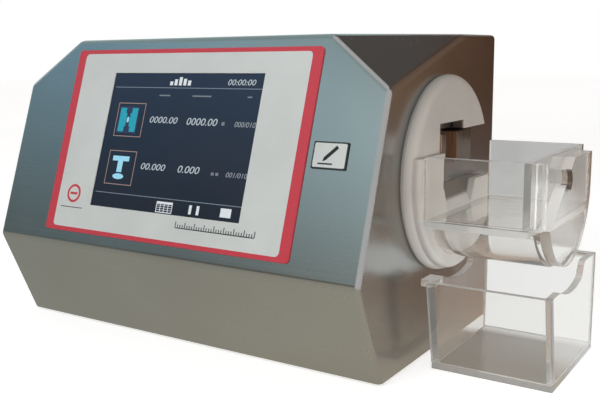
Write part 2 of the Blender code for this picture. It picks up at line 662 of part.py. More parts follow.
def make_jaw_surround():
    centre = (SURROUND_Y, SURROUND_Z)
    surround = rounded_disc(SURROUND_RADIUS, SURROUND_BACK_X, SURROUND_FACE_X,
                            SURROUND_ROUNDING, BACK_ROUNDING, centre, FINE_STEPS)
    step = rounded_disc(STEP_RADIUS, STEP_BACK_X, STEP_FACE_X,
                        STEP_ROUNDING, BACK_ROUNDING, centre, FINE_STEPS)
    above_front = block(
        (SURROUND_BACK_X - CUT_OVERRUN, STEP_FACE_X + CUT_OVERRUN),
        (SURROUND_Y - SURROUND_RADIUS - CUT_OVERRUN, WINDOW_FRONT + CUT_OVERRUN),
        (STEP_FRONT_TOP, SURROUND_Z + SURROUND_RADIUS + CUT_OVERRUN))
    above_back = block(
        (SURROUND_BACK_X - CUT_OVERRUN, STEP_FACE_X + CUT_OVERRUN),
        (WINDOW_FRONT, SURROUND_Y + SURROUND_RADIUS + CUT_OVERRUN),
        (STEP_REAR_TOP, SURROUND_Z + SURROUND_RADIUS + CUT_OVERRUN))
    cut(step, above_front, above_back)
    join(surround, step)
    through = (SURROUND_BACK_X - CUT_OVERRUN, STEP_FACE_X + CUT_OVERRUN)
    window = block(through, (WINDOW_FRONT, WINDOW_BACK), (STEP_REAR_TOP, WINDOW_TOP))
    slot = block(
        through,
        (WINDOW_BACK - CUT_OVERRUN, SURROUND_Y + SURROUND_RADIUS + CUT_OVERRUN),
        (STEP_REAR_TOP, SLOT_TOP))
    plug_radius = SHELL_RADIUS - SHELL_WALL - FIT_GAP
    plug_top = TROUGH_FLOOR_TOP - TROUGH_WALL - FIT_GAP
    plug_half = math.degrees(math.asin((SURROUND_Z - plug_top) / plug_radius))
    plug = prism(arc(centre, plug_radius, 180 + plug_half, 360 - plug_half, ROUND_STEPS),
                 AXIS_X, SURROUND_FACE_X, STEP_FACE_X + PLUG_DEPTH)
    join(surround, plug)
    slope = (STEP_REAR_TOP - TROUGH_FLOOR_TOP) / STEP_THICKNESS
    foot_x = STEP_FACE_X + CUT_OVERRUN
    foot_z = TROUGH_FLOOR_TOP - slope * CUT_OVERRUN
    chute = hull([
        (SURROUND_BACK_X, WINDOW_FRONT, STEP_REAR_TOP),
        (SURROUND_BACK_X, CHUTE_TOP_BACK, STEP_REAR_TOP),
        (SURROUND_BACK_X, WINDOW_FRONT, STEP_REAR_TOP + CUT_OVERRUN),
        (SURROUND_BACK_X, CHUTE_TOP_BACK, STEP_REAR_TOP + CUT_OVERRUN),
        (foot_x, WINDOW_FRONT, STEP_REAR_TOP + CUT_OVERRUN),
        (foot_x, CHUTE_TOP_BACK, STEP_REAR_TOP + CUT_OVERRUN),
        (foot_x, CHUTE_FOOT_FRONT, foot_z),
        (foot_x, CHUTE_FOOT_BACK, foot_z),
    ])
    cut(surround, window, slot, chute)
    origin = (SURROUND_BACK_X, SURROUND_Y, SURROUND_Z)
    finish(surround, "jaw_surround", WHITE_PLASTIC, origin, SMOOTH_DEGREES)


def make_jaws():
    neck_x = SIDE_X - JAW_NECK
    fixed = block((neck_x, JAW_END_X), (FIXED_JAW_FRONT, FIXED_JAW_BACK), (JAW_LOW, JAW_HIGH))
    finish(fixed, "fixed_jaw", BRIGHT_STEEL)
    moving = block((neck_x, JAW_END_X), (MOVING_JAW_FRONT, MOVING_JAW_BACK), (JAW_LOW, JAW_HIGH))
    finish(moving, "moving_jaw", BRIGHT_STEEL, (neck_x, MOVING_JAW_FRONT, JAW_MIDDLE_Z))


def make_mechanism():
    outer_x = SIDE_X - SHEET - FRAME_OUTER
    inner_x = SIDE_X - FRAME_INNER
    base_z = BASE_SHEET + FIT_GAP
    frame = block((inner_x, outer_x), (FRAME_FRONT, MOTOR_PLATE_BACK), (base_z, base_z + FRAME_BASE))
    for front in (FRAME_FRONT, BEARING_FRONT, MOTOR_PLATE_FRONT):
        plate = block((inner_x, outer_x), (front, front + FRAME_PLATE), (base_z, FRAME_TOP))
        join(frame, plate)
    rod_places = [(SCREW_X, JAW_MIDDLE_Z - ROD_SPREAD), (SCREW_X, JAW_MIDDLE_Z + ROD_SPREAD)]
    screw_place = (SCREW_X, JAW_MIDDLE_Z)
    rod_start = FRAME_FRONT - FIT_GAP
    rod_end = BEARING_BACK + FIT_GAP
    for place in rod_places:
        cut(frame, rod(AXIS_Y, place, ROD_RADIUS + RUN_GAP, rod_start - CUT_OVERRUN, rod_end + CUT_OVERRUN))
    cut(frame, rod(AXIS_Y, screw_place, SCREW_RADIUS_OUTER + RUN_GAP,
                   rod_start - CUT_OVERRUN, rod_end + CUT_OVERRUN))
    cut(frame, rod(AXIS_Y, screw_place, MOTOR_SHAFT_RADIUS + FIT_GAP,
                   MOTOR_PLATE_FRONT - CUT_OVERRUN, MOTOR_PLATE_BACK + CUT_OVERRUN))
    finish(frame, "mechanism_frame", ALUMINIUM)
    for number, place in enumerate(rod_places, start=1):
        guide = rod(AXIS_Y, place, ROD_RADIUS, rod_start, rod_end)
        finish(guide, "guide_rod_%d" % number, BRIGHT_STEEL, smooth_degrees=SMOOTH_DEGREES)

    carriage = block(
        (SIDE_X - CARRIAGE_REACH_IN, SIDE_X - JAW_NECK - FIT_GAP),
        (CARRIAGE_FRONT, CARRIAGE_BACK),
        (JAW_MIDDLE_Z - CARRIAGE_ABOVE, FRAME_TOP))
    for place in rod_places + [screw_place]:
        bore = rod(AXIS_Y, place, ROD_RADIUS + RUN_GAP,
                   CARRIAGE_FRONT - CUT_OVERRUN, CARRIAGE_BACK + CUT_OVERRUN)
        cut(carriage, bore)
    finish(carriage, "jaw_carriage", ALUMINIUM, (SCREW_X, CARRIAGE_FRONT, JAW_MIDDLE_Z))

    coupling_middle = COUPLING_FRONT + COUPLING_LENGTH / 2
    screw = rod(AXIS_Y, screw_place, SCREW_RADIUS_OUTER, rod_start, coupling_middle - FIT_GAP)
    finish(screw, "lead_screw", BRIGHT_STEEL, (SCREW_X, rod_start, JAW_MIDDLE_Z), SMOOTH_DEGREES)
    coupling = rod(AXIS_Y, screw_place, COUPLING_RADIUS, COUPLING_FRONT, COUPLING_BACK)
    cut(coupling, rod(AXIS_Y, screw_place, SCREW_RADIUS_OUTER + RUN_GAP,
                      COUPLING_FRONT - CUT_OVERRUN, coupling_middle))
    cut(coupling, rod(AXIS_Y, screw_place, MOTOR_SHAFT_RADIUS + RUN_GAP,
                      coupling_middle - CUT_OVERRUN, COUPLING_BACK + CUT_OVERRUN))
    finish(coupling, "screw_coupling", ALUMINIUM, (SCREW_X, COUPLING_FRONT, JAW_MIDDLE_Z), SMOOTH_DEGREES)
    shaft_start = coupling_middle + FIT_GAP
    shaft = rod(AXIS_Y, screw_place, MOTOR_SHAFT_RADIUS, shaft_start, MOTOR_FRONT - FIT_GAP + SHEET)
    finish(shaft, "motor_shaft", BRIGHT_STEEL, (SCREW_X, shaft_start, JAW_MIDDLE_Z), SMOOTH_DEGREES)

    half = MOTOR_SIDE / 2
    flat = half - MOTOR_CHAMFER
    corners = [(-flat, -half), (flat, -half), (half, -flat), (half, flat),
               (flat, half), (-flat, half), (-half, flat), (-half, -flat)]
    outline = [(SCREW_X + across, JAW_MIDDLE_Z + up) for across, up in corners]
    motor = prism(outline, AXIS_Y, MOTOR_FRONT, MOTOR_BACK)
    cut(motor, rod(AXIS_Y, screw_place, MOTOR_SHAFT_RADIUS + FIT_GAP,
                   MOTOR_FRONT - CUT_OVERRUN, MOTOR_FRONT + SHEET))
    finish(motor, "drive_motor", DARK_STEEL)

    cell_x = (SIDE_X - JAW_NECK - LOAD_CELL_WIDTH / 2, SIDE_X - JAW_NECK + LOAD_CELL_WIDTH / 2)
    cell = block(
        (max(cell_x[0], SCREW_X + ROD_RADIUS + FIT_GAP), outer_x),
        (FRAME_FRONT_BACK + FIT_GAP, FIXED_JAW_FRONT - FIT_GAP),
        (JAW_MIDDLE_Z - LOAD_CELL_HEIGHT / 2, JAW_MIDDLE_Z + LOAD_CELL_HEIGHT / 2))
    middle_y = (FRAME_FRONT_BACK + FIXED_JAW_FRONT) / 2
    cut(cell, rod(AXIS_X, (middle_y, JAW_MIDDLE_Z), LOAD_CELL_HOLE,
                  SCREW_X, SIDE_X))
    finish(cell, "load_cell", ALUMINIUM, smooth_degrees=SMOOTH_DEGREES)


def make_trough():
    """Clear trough of glued plates; it sits on the plug of the jaw surround and pulls off along +X."""
    origin = (TROUGH_LEFT, SURROUND_Y, SURROUND_Z)
    floor_low = TROUGH_FLOOR_TOP - TROUGH_WALL
    wall_z = (TROUGH_FLOOR_TOP + FIT_GAP, TROUGH_TOP)
    front_back = TROUGH_FRONT_Y + TROUGH_WALL
    front = block((TROUGH_LEFT, TROUGH_FRONT_END), (TROUGH_FRONT_Y, front_back), wall_z)
    post = block(
        (TROUGH_FRONT_END - FRONT_POST_WIDTH, TROUGH_FRONT_END),
        (front_back - TROUGH_WALL / 2, front_back + FRONT_POST_DEPTH),
        wall_z)
    join(front, post)
    finish(front, "trough_front_wall", CLEAR_PLASTIC, origin)
    rear = block(
        (TROUGH_LEFT, TROUGH_END),
        (TROUGH_BACK_Y - TROUGH_WALL, TROUGH_BACK_Y),
        wall_z)
    finish(rear, "trough_rear_wall", CLEAR_PLASTIC, origin)
    floor = block((TROUGH_LEFT, TROUGH_END), (TROUGH_FRONT_Y, TROUGH_BACK_Y), (floor_low, TROUGH_FLOOR_TOP))
    finish(floor, "trough_floor", CLEAR_PLASTIC, origin)

    end_x = (TROUGH_END - TROUGH_WALL, TROUGH_END)
    end = block(
        end_x,
        (front_back + FIT_GAP, TROUGH_BACK_Y - TROUGH_WALL - FIT_GAP),
        wall_z)
    finish(end, "trough_end_wall", CLEAR_PLASTIC, origin)

    centre = (SURROUND_Y, SURROUND_Z)
    shell_top = floor_low - FIT_GAP
    drop = SURROUND_Z - shell_top
    outer_half = math.degrees(math.asin(drop / SHELL_RADIUS))
    inner_radius = SHELL_RADIUS - SHELL_WALL
    inner_half = math.degrees(math.asin(drop / inner_radius))
    outline = arc(centre, SHELL_RADIUS, 180 + outer_half, 360 - outer_half, ROUND_STEPS)
    outline += arc(centre, inner_radius, 360 - inner_half, 180 + inner_half, ROUND_STEPS)
    shell = prism(outline, AXIS_X, TROUGH_LEFT, TROUGH_END)
    finish(shell, "trough_shell", CLEAR_PLASTIC, origin, SMOOTH_DEGREES)

    plate_centre = (SURROUND_Y + END_PLATE_BACKWARD, SURROUND_Z - END_PLATE_DROP)
    plate_top = TROUGH_TOP - END_PLATE_TOP_DROP
    low_angle = math.degrees(math.atan2(-END_PLATE_CUT_DROP, -END_PLATE_CUT_FORWARD))
    outline = arc(plate_centre, END_PLATE_RADIUS, low_angle, 0, ROUND_STEPS)
    outline.append((plate_centre[0] + END_PLATE_RADIUS, plate_top))
    outline.append((SURROUND_Y + END_PLATE_TOP_BACKWARD, plate_top))
    plate_left = TROUGH_END + FIT_GAP
    plate_right = plate_left + END_PLATE_THICKNESS
    plate = prism(outline, AXIS_X, plate_left, plate_right)
    cut(plate, rod(AXIS_X, centre, END_PLATE_HOLE, plate_left - CUT_OVERRUN, plate_right + CUT_OVERRUN))
    finish(plate, "trough_end_plate", CLEAR_PLASTIC, origin, SMOOTH_DEGREES)


def box_front_y(z):
    """Outer face of the raked front wall at a height."""
    lean = (BOX_FRONT_FOOT - BOX_FRONT_TOP) / (BOX_LOW_TOP + FOOT_HEIGHT)
    return BOX_FRONT_FOOT - lean * (z + FOOT_HEIGHT)


def box_side_outline(dip_centre, dip_radius, dip_back, bottom):
    """Side wall: raked front edge, low front flat, round dip, then a soft step up to the high back."""
    front_low = box_front_y(bottom) + BOX_WALL + FIT_GAP
    front_high = BOX_FRONT_TOP + BOX_WALL + FIT_GAP
    back = BOX_BACK - BOX_WALL - FIT_GAP
    outline = [(front_low, bottom), (back, bottom), (back, BOX_HIGH_TOP)]
    rise = BOX_STEP_BACK - dip_back
    dip_end = dip_centre[1] - math.sqrt(dip_radius ** 2 - (dip_back - dip_centre[0]) ** 2)
    for i in range(ROUNDING_STEPS + 1):
        share = i / ROUNDING_STEPS
        ease = (1 + math.cos(math.pi * share)) / 2
        outline.append((BOX_STEP_BACK - rise * share, dip_end + (BOX_HIGH_TOP - dip_end) * ease))
    dip_front = dip_centre[0] - math.sqrt(dip_radius ** 2 - (dip_centre[1] - BOX_LOW_TOP) ** 2)
    for i in range(1, SMALL_STEPS + 1):
        y = dip_back + (dip_front - dip_back) * i / SMALL_STEPS
        outline.append((y, dip_centre[1] - math.sqrt(dip_radius ** 2 - (y - dip_centre[0]) ** 2)))
    outline.append((front_high, BOX_LOW_TOP))
    return outline


def make_box():
    """Open collecting box of clear plates that stands on the table beside the housing."""
    origin = (BOX_LEFT, SURROUND_Y, -FOOT_HEIGHT)
    floor_top = BOX_WALL - FOOT_HEIGHT
    wall_low = floor_top + FIT_GAP
    floor = block((BOX_LEFT, BOX_RIGHT), (BOX_FRONT_FOOT, BOX_BACK), (-FOOT_HEIGHT, floor_top))
    finish(floor, "box_floor", CLEAR_PLASTIC, origin)
    front_low = box_front_y(wall_low)
    outline = [(front_low, wall_low), (front_low + BOX_WALL, wall_low),
               (BOX_FRONT_TOP + BOX_WALL, BOX_LOW_TOP), (BOX_FRONT_TOP, BOX_LOW_TOP)]
    front = prism(outline, AXIS_X, BOX_LEFT, BOX_RIGHT)
    finish(front, "box_front_wall", CLEAR_PLASTIC, origin)
    rear = block((BOX_LEFT, BOX_RIGHT), (BOX_BACK - BOX_WALL, BOX_BACK), (wall_low, BOX_HIGH_TOP))
    finish(rear, "box_rear_wall", CLEAR_PLASTIC, origin)

    dip_centre = (SURROUND_Y - BOX_DIP_FORWARD, BOX_DIP_LOW + BOX_DIP_RADIUS)
    right = prism(
        box_side_outline(dip_centre, BOX_DIP_RADIUS, BOX_DIP_BACK, wall_low),
        AXIS_X, BOX_RIGHT - BOX_WALL, BOX_RIGHT)
    finish(right, "box_right_wall", CLEAR_PLASTIC, origin, SMOOTH_DEGREES)
    left = prism(
        box_side_outline(dip_centre, BOX_DIP_RADIUS, BOX_DIP_BACK, wall_low),
        AXIS_X, BOX_LEFT, BOX_LEFT + BOX_WALL)
    room = rod(AXIS_X, (SURROUND_Y, SURROUND_Z), SHELL_RADIUS + BOX_TROUGH_CLEARANCE,
               BOX_LEFT - CUT_OVERRUN, BOX_LEFT + BOX_WALL + CUT_OVERRUN, FINE_STEPS)
    cut(left, room)
    lip = block(
        (BOX_LEFT - LIP_REACH, BOX_LEFT + BOX_WALL / 2),
        (box_front_y(BOX_LOW_TOP - LIP_THICKNESS) + BOX_WALL + FIT_GAP, SURROUND_Y - LIP_FORWARD),
        (BOX_LOW_TOP - LIP_THICKNESS, BOX_LOW_TOP))
    join(left, lip)
    finish(left, "box_left_wall", CLEAR_PLASTIC, origin, SMOOTH_DEGREES)


def make_rear_panel():
    half = SIDE_X - PANEL_INSET
    panel = block((-half, half), (PANEL_FRONT_Y, PANEL_BACK_Y), (PANEL_INSET, HOUSING_HEIGHT - PANEL_INSET))
    cuts_y = (PANEL_FRONT_Y - CUT_OVERRUN, PANEL_BACK_Y + CUT_OVERRUN)
    for x, z in panel_screw_places():
        cut(panel, rod(AXIS_Y, (x, z), PANEL_SCREW_RADIUS + FIT_GAP, cuts_y[0], cuts_y[1], SMALL_STEPS))
    for i in range(VENT_COUNT):
        x = VENT_X + (i - (VENT_COUNT - 1) / 2) * VENT_PITCH
        cut(panel, block(
            (x - VENT_WIDTH / 2, x + VENT_WIDTH / 2), cuts_y,
            (VENT_Z - VENT_HEIGHT / 2, VENT_Z + VENT_HEIGHT / 2)))
    room = 2 * FIT_GAP
    cut(panel, centred_block(INLET_X, INLET_Z, INLET_BODY_WIDTH + room, INLET_BODY_HEIGHT + room, cuts_y))
    cut(panel, centred_block(SWITCH_X, INLET_Z, SWITCH_WIDTH - SWITCH_WALL + room,
                             SWITCH_HEIGHT - SWITCH_WALL + room, cuts_y))
    for x in PORT_X:
        cut(panel, centred_block(x, INLET_Z, PORT_SHELL_WIDTH + room, PORT_SHELL_HEIGHT + room, cuts_y))
    finish(panel, "rear_panel", STEEL)
    for number, (x, z) in enumerate(panel_screw_places(), start=1):
        head_y = PANEL_BACK_Y + FIT_GAP
        screw = rod(AXIS_Y, (x, z), PANEL_SCREW_RADIUS,
                    PANEL_BACK_Y - PANEL_SCREW_LENGTH, head_y + PANEL_SCREW_HEAD_HEIGHT / 2, SMALL_STEPS)
        head = rod(AXIS_Y, (x, z), PANEL_SCREW_HEAD, head_y, head_y + PANEL_SCREW_HEAD_HEIGHT, SMALL_STEPS)
        join(screw, head)
        finish(screw, "rear_screw_%d" % number, BRIGHT_STEEL, smooth_degrees=SMOOTH_DEGREES)


def centred_block(x, z, width, height, y_range):
    return block((x - width / 2, x + width / 2), y_range, (z - height / 2, z + height / 2))


def make_rear_fittings():
    face = PANEL_BACK_Y + FIT_GAP
    inlet = centred_block(INLET_X, INLET_Z, INLET_WIDTH, INLET_HEIGHT, (face, face + INLET_FLANGE))
    body_front = face - INLET_BODY_DEPTH
    join(inlet, centred_block(INLET_X, INLET_Z, INLET_BODY_WIDTH, INLET_BODY_HEIGHT,
                              (body_front, face + INLET_FLANGE / 2)))
    half_width = INLET_BODY_WIDTH / 2 - INLET_WALL
    half_height = INLET_BODY_HEIGHT / 2 - INLET_WALL
    socket = prism([
        (INLET_X - half_width, INLET_Z - half_height),
        (INLET_X + half_width, INLET_Z - half_height),
        (INLET_X + half_width, INLET_Z + half_height - INLET_CORNER),
        (INLET_X + half_width - INLET_CORNER, INLET_Z + half_height),
        (INLET_X - half_width + INLET_CORNER, INLET_Z + half_height),
        (INLET_X - half_width, INLET_Z + half_height - INLET_CORNER)],
        AXIS_Y, body_front + INLET_FLANGE, face + INLET_FLANGE + CUT_OVERRUN)
    cut(inlet, socket)
    for offset, rise in ((-PIN_SPREAD, -PIN_RISE), (0, PIN_RISE), (PIN_SPREAD, -PIN_RISE)):
        pin = centred_block(INLET_X + offset, INLET_Z + rise, PIN_HEIGHT, PIN_WIDTH,
                            (body_front + INLET_FLANGE / 2, body_front + INLET_FLANGE + PIN_LENGTH))
        join(inlet, pin)
    finish(inlet, "power_inlet", BLACK_PLASTIC)

    bezel = centred_block(SWITCH_X, INLET_Z, SWITCH_WIDTH, SWITCH_HEIGHT, (face, face + SWITCH_FLANGE))
    join(bezel, centred_block(SWITCH_X, INLET_Z, SWITCH_WIDTH - SWITCH_WALL, SWITCH_HEIGHT - SWITCH_WALL,
                              (face - SWITCH_BODY_DEPTH, face + SWITCH_FLANGE / 2)))
    hollow_width = SWITCH_WIDTH - 2 * SWITCH_RIM
    hollow_height = SWITCH_HEIGHT - 2 * SWITCH_RIM
    pivot_y = face + SWITCH_FLANGE - ROCKER_RADIUS
    cut(bezel, centred_block(SWITCH_X, INLET_Z, hollow_width, hollow_height,
                             (face - SWITCH_BODY_DEPTH + SWITCH_WALL, face + SWITCH_FLANGE + CUT_OVERRUN)))
    finish(bezel, "switch_bezel", BLACK_PLASTIC)
    crown = ROCKER_RADIUS + ROCKER_PROUD - ROCKER_BOW
    reach = hollow_height / 2 - 2 * FIT_GAP - (crown + ROCKER_BOW) * math.sin(ROCKER_TILT)
    foot = reach * ROCKER_FOOT_SHARE
    outline = [(-foot, -ROCKER_BOW), (foot, -ROCKER_BOW)]
    for i in range(ROUNDING_STEPS + 1):
        angle = math.pi * i / ROUNDING_STEPS
        outline.append((reach * math.cos(angle), crown + ROCKER_BOW - ROCKER_BOW * math.sin(angle)))
    tilted = []
    for b, a in outline:
        turned_up = b * math.cos(ROCKER_TILT) - a * math.sin(ROCKER_TILT)
        turned_out = b * math.sin(ROCKER_TILT) + a * math.cos(ROCKER_TILT)
        tilted.append((pivot_y + turned_out, INLET_Z + turned_up))
    half = hollow_width / 2 - FIT_GAP
    rocker = prism(tilted, AXIS_X, SWITCH_X - half, SWITCH_X + half)
    finish(rocker, "switch_rocker", BLACK_PLASTIC, (SWITCH_X, pivot_y, INLET_Z))

    for x, name in zip(PORT_X, ("serial_port", "printer_port")):
        port = centred_block(x, INLET_Z, PORT_WIDTH, PORT_HEIGHT, (face, face + PORT_FLANGE))
        half_width = PORT_SHELL_WIDTH / 2
        half_height = PORT_SHELL_HEIGHT / 2
        shell = prism([
            (x - half_width + PORT_SHELL_TAPER, INLET_Z - half_height),
            (x + half_width - PORT_SHELL_TAPER, INLET_Z - half_height),
            (x + half_width, INLET_Z + half_height),
            (x - half_width, INLET_Z + half_height)],
            AXIS_Y, face - PORT_BODY_DEPTH, face + PORT_FLANGE + PORT_SHELL_REACH)
        join(port, shell)
        mouth = prism([
            (x - half_width + PORT_SHELL_TAPER + PORT_WALL, INLET_Z - half_height + PORT_WALL),
            (x + half_width - PORT_SHELL_TAPER - PORT_WALL, INLET_Z - half_height + PORT_WALL),
            (x + half_width - PORT_WALL, INLET_Z + half_height - PORT_WALL),
            (x - half_width + PORT_WALL, INLET_Z + half_height - PORT_WALL)],
            AXIS_Y, face, face + PORT_FLANGE + PORT_SHELL_REACH + CUT_OVERRUN)
        cut(port, mouth)
        finish(port, name, BRIGHT_STEEL)


def make_electronics():
    board_low = BASE_SHEET + FIT_GAP + BOARD_POST + FIT_GAP
    board_top = board_low + BOARD_SHEET
    board = block((BOARD_LEFT, BOARD_RIGHT), (BOARD_FRONT, BOARD_BACK), (board_low, board_top))
    middle_x = (BOARD_LEFT + BOARD_RIGHT) / 2
    middle_y = (BOARD_FRONT + BOARD_BACK) / 2
    chip = block(
        (middle_x - BOARD_CHIP / 2, middle_x + BOARD_CHIP / 2),
        (middle_y - BOARD_CHIP / 2, middle_y + BOARD_CHIP / 2),
        (board_top - BOARD_SHEET / 2, board_top + BOARD_CHIP_HEIGHT))
    join(board, chip)
    finish(board, "main_board", BOARD_GREEN)
    number = 0
    for x in (BOARD_LEFT + BOARD_POST_INSET, BOARD_RIGHT - BOARD_POST_INSET):
        for y in (BOARD_FRONT + BOARD_POST_INSET, BOARD_BACK - BOARD_POST_INSET):
            number += 1
            post = rod(AXIS_Z, (x, y), POST_RADIUS, BASE_SHEET + FIT_GAP, BASE_SHEET + FIT_GAP + BOARD_POST,
                       SMALL_STEPS)
            finish(post, "board_post_%d" % number, BRASS_LOOK, smooth_degrees=SMOOTH_DEGREES)
    low = BASE_SHEET + FIT_GAP
    supply = block((SUPPLY_LEFT, SUPPLY_RIGHT), (SUPPLY_FRONT, SUPPLY_BACK), (low, low + SUPPLY_HEIGHT))
    finish(supply, "power_supply", ALUMINIUM)


def centre_frame():
    """Move every piece so that the middle of the object's base is at the world origin."""
    corners = [item.location + vert.co for item in bpy.data.objects for vert in item.data.vertices]
    low = Vector([min(corner[axis] for corner in corners) for axis in range(3)])
    high = Vector([max(corner[axis] for corner in corners) for axis in range(3)])
    middle = (low + high) / 2
    shift = Vector((-middle.x, -middle.y, -low.z))
    for item in bpy.data.objects:
        item.location += shift


clear_scene()
make_hood()
make_base()
make_front_panel()
make_jaw_surround()
make_jaws()
make_mechanism()
make_trough()
make_box()
make_rear_panel()
make_rear_fittings()
make_electronics()
centre_frame()
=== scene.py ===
import math

import bmesh
import bpy
from mathutils import Matrix, Vector


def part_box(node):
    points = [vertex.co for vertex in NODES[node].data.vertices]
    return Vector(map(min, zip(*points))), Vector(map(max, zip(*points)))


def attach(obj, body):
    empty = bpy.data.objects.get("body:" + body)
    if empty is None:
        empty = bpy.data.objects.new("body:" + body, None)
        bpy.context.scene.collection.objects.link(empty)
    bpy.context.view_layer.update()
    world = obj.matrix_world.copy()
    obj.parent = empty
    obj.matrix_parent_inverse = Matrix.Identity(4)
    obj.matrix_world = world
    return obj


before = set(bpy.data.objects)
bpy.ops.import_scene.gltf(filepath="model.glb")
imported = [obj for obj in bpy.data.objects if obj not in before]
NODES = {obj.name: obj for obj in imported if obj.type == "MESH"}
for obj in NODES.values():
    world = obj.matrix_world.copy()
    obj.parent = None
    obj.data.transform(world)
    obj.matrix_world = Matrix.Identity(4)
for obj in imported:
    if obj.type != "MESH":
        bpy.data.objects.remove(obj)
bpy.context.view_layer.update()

ALONG_X, ALONG_Y, ALONG_Z = (1, 0, 0), (0, 1, 0), (0, 0, 1)
TO_FRONT = (0, -1, 0)
WHOLE = (0, 1)

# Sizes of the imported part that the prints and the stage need
HOUSING_DEPTH = 0.1784
HOUSING_HEIGHT = 0.2077
NOSE_REACH = 0.0271
NOSE_HEIGHT = 0.0649
TOP_SETBACK = 0.0228
OVERLAY_HALF_WIDTH = 0.1060
OVERLAY_LOW = 0.0093
OVERLAY_HIGH = 0.1431
OVERLAY_FACE = 0.0009
SCREEN_HALF_WIDTH = 0.0656
SCREEN_LOW = 0.0295
SCREEN_HIGH = 0.1260
STYLUS_ACROSS, STYLUS_UP = (0.1104, 0.1342), (0.0676, 0.0842)
HOLE_Y = 0.0884
HOLE_Z = 0.1176
HOLE_RADIUS = 0.0068

# Overlay prints
PRINT_LIFT = 0.00002
PRINT_THICKNESS = 0.00006
EDGE_BAND_OUT = 0.0001
EDGE_BAND_IN = 0.0003
EDGE_BAND_LOW = -0.0002
BORDER_SIDE = 0.0073
BORDER_TOP = 0.0029
BORDER_RADIUS = 0.0030
CORNER_STEPS = 8
OVAL_STEPS = 40
TABLET_MARK = (-0.0836, 0.0365)
TABLET_MARK_RADIUS = 0.0066
TABLET_MARK_LINE = 0.0017
TABLET_SCORE_SHARE = 0.72
RULE_ACROSS, RULE_UP = (-0.0945, -0.0727), (0.0262, 0.0267)
SCALE_LEFT = 0.0154
SCALE_RIGHT = 0.0790
SCALE_LOW = 0.0219
SCALE_TICK = 0.0020
SCALE_LONG_TICK = 0.0038
SCALE_LINE = 0.0006
SCALE_STEPS = 32
SCALE_LONG_EVERY = 4

# Stylus label: places and line widths as shares of its white plate
PLATE_MARGIN = 0.0009
PEN_TIP, PEN_NECK, PEN_END = (0.30, 0.24), (0.37, 0.36), (0.72, 0.86)
PEN_WIDTH = 0.15
DRAWN_LINE = ((0.16, 0.15), (0.62, 0.15))
DRAWN_LINE_WIDTH = 0.06

# Screen pictures: shares of the screen, each box as (left, right), (low, high)
FRAME_LINE = 0.0005
TEXT_SLANT = 0.18
TEXT_EXTRUDE = 0.5
SCREEN_LINES = (((0.015, 0.995), (0.891, 0.896)), ((0.015, 0.995), (0.104, 0.109)))
SYMBOL_ACROSS = (0.065, 0.262)
SYMBOL_HEIGHTS = ((0.525, 0.776), (0.170, 0.420))
SYMBOL_GROUND = ((0.080, 0.222), (0.550, 0.750))
JAW_SYMBOL = (((0.088, 0.130), (0.561, 0.738)), ((0.172, 0.213), (0.561, 0.738)),
              ((0.130, 0.139), (0.600, 0.700)), ((0.163, 0.172), (0.600, 0.700)))
JAW_TABLET = ((0.151, 0.650), (0.159, 0.672))
GAUGE_SYMBOL = (((0.098, 0.216), (0.344, 0.380)), ((0.139, 0.175), (0.262, 0.344)))
GAUGE_TABLET = ((0.157, 0.231), (0.196, 0.252))
HEADING_BAR, HEADING_BARS_LOW, HEADING_BAR_STEP = (0.400, 0.420), 0.912, 0.030
HEADING_BAR_TOPS = (0.940, 0.956, 0.972, 0.960, 0.948)
HEADING_DASHES = (((0.342, 0.417), (0.832, 0.842)), ((0.567, 0.689), (0.832, 0.842)),
                  ((0.915, 0.942), (0.832, 0.842)))
UNIT_MARKS = (((0.785, 0.803), (0.638, 0.662)), ((0.775, 0.793), (0.296, 0.316)),
              ((0.803, 0.821), (0.296, 0.316)))
TABLE_ACROSS, TABLE_HEAD, TABLE_FOOT = (0.462, 0.570), (0.068, 0.085), (0.008, 0.014)
COLUMN_ACROSS, COLUMN_UP, COLUMN_STEP, COLUMNS = (0.462, 0.466), (0.008, 0.070), 0.026, 5
ROW_UP, ROW_STEP, ROWS = (0.026, 0.029), 0.0155, 3
PAUSE_KEY = (((0.678, 0.695), (0.020, 0.082)), ((0.726, 0.743), (0.020, 0.082)))
STOP_KEY = (((0.875, 0.940), (0.026, 0.086)),)
NUMBERS = (("0000.00", (0.308, 0.497), (0.636, 0.682)), ("0000.00", (0.560, 0.757), (0.632, 0.682)),
           ("00.000", (0.308, 0.474), (0.297, 0.343)), ("0.000", (0.560, 0.700), (0.296, 0.345)),
           ("00:00:00", (0.780, 0.950), (0.918, 0.958)))
COUNTS = (("000/010", (0.866, 0.992), (0.632, 0.668)), ("001/010", (0.868, 0.996), (0.292, 0.326)))

# Gasket behind the surround
SIDE_FROM_MIDDLE = 0.1550
GASKET_OUTER = 0.0637
GASKET_INNER = 0.0560
GASKET_THICKNESS = 0.0012
GASKET_START = math.radians(33)
GASKET_END = math.radians(353)
GASKET_STEPS = 96

# Fittings on the rear panel. CONTACT_ROWS: number and height of the contacts in each row
REAR_SCREWS = 6
INLET_X = -0.1180
PORT_X = (-0.0220, 0.0240)
FITTING_Z = 0.0420
INLET_SCREW_SPREAD = 0.0192
INLET_FACE_Y = 0.1835
SCREW_RADIUS = 0.0026
SCREW_HEAD = 0.0004
SCREW_STEPS = 24
CROSS_LENGTH = 0.0030
CROSS_WIDTH = 0.0007
CROSS_LIFT = 0.00005
CROSS_TURN, CROSS_TURN_STEP = 20, 25
PORT_FACE_Y = 0.1815
PORT_INSERT = (0.0120, 0.0012, 0.0058)
POST_SPREAD = 0.0125
POST_RADIUS = 0.0026
POST_LENGTH = 0.0042
POST_SIDES = 6
POST_HOLE = 0.0013
POST_HOLE_STEPS = 16
CONTACT_RADIUS = 0.0005
CONTACT_PITCH = 0.0024
CONTACT_ROWS = ((5, 0.0013), (4, -0.0013))
CONTACT_LENGTH = 0.0040
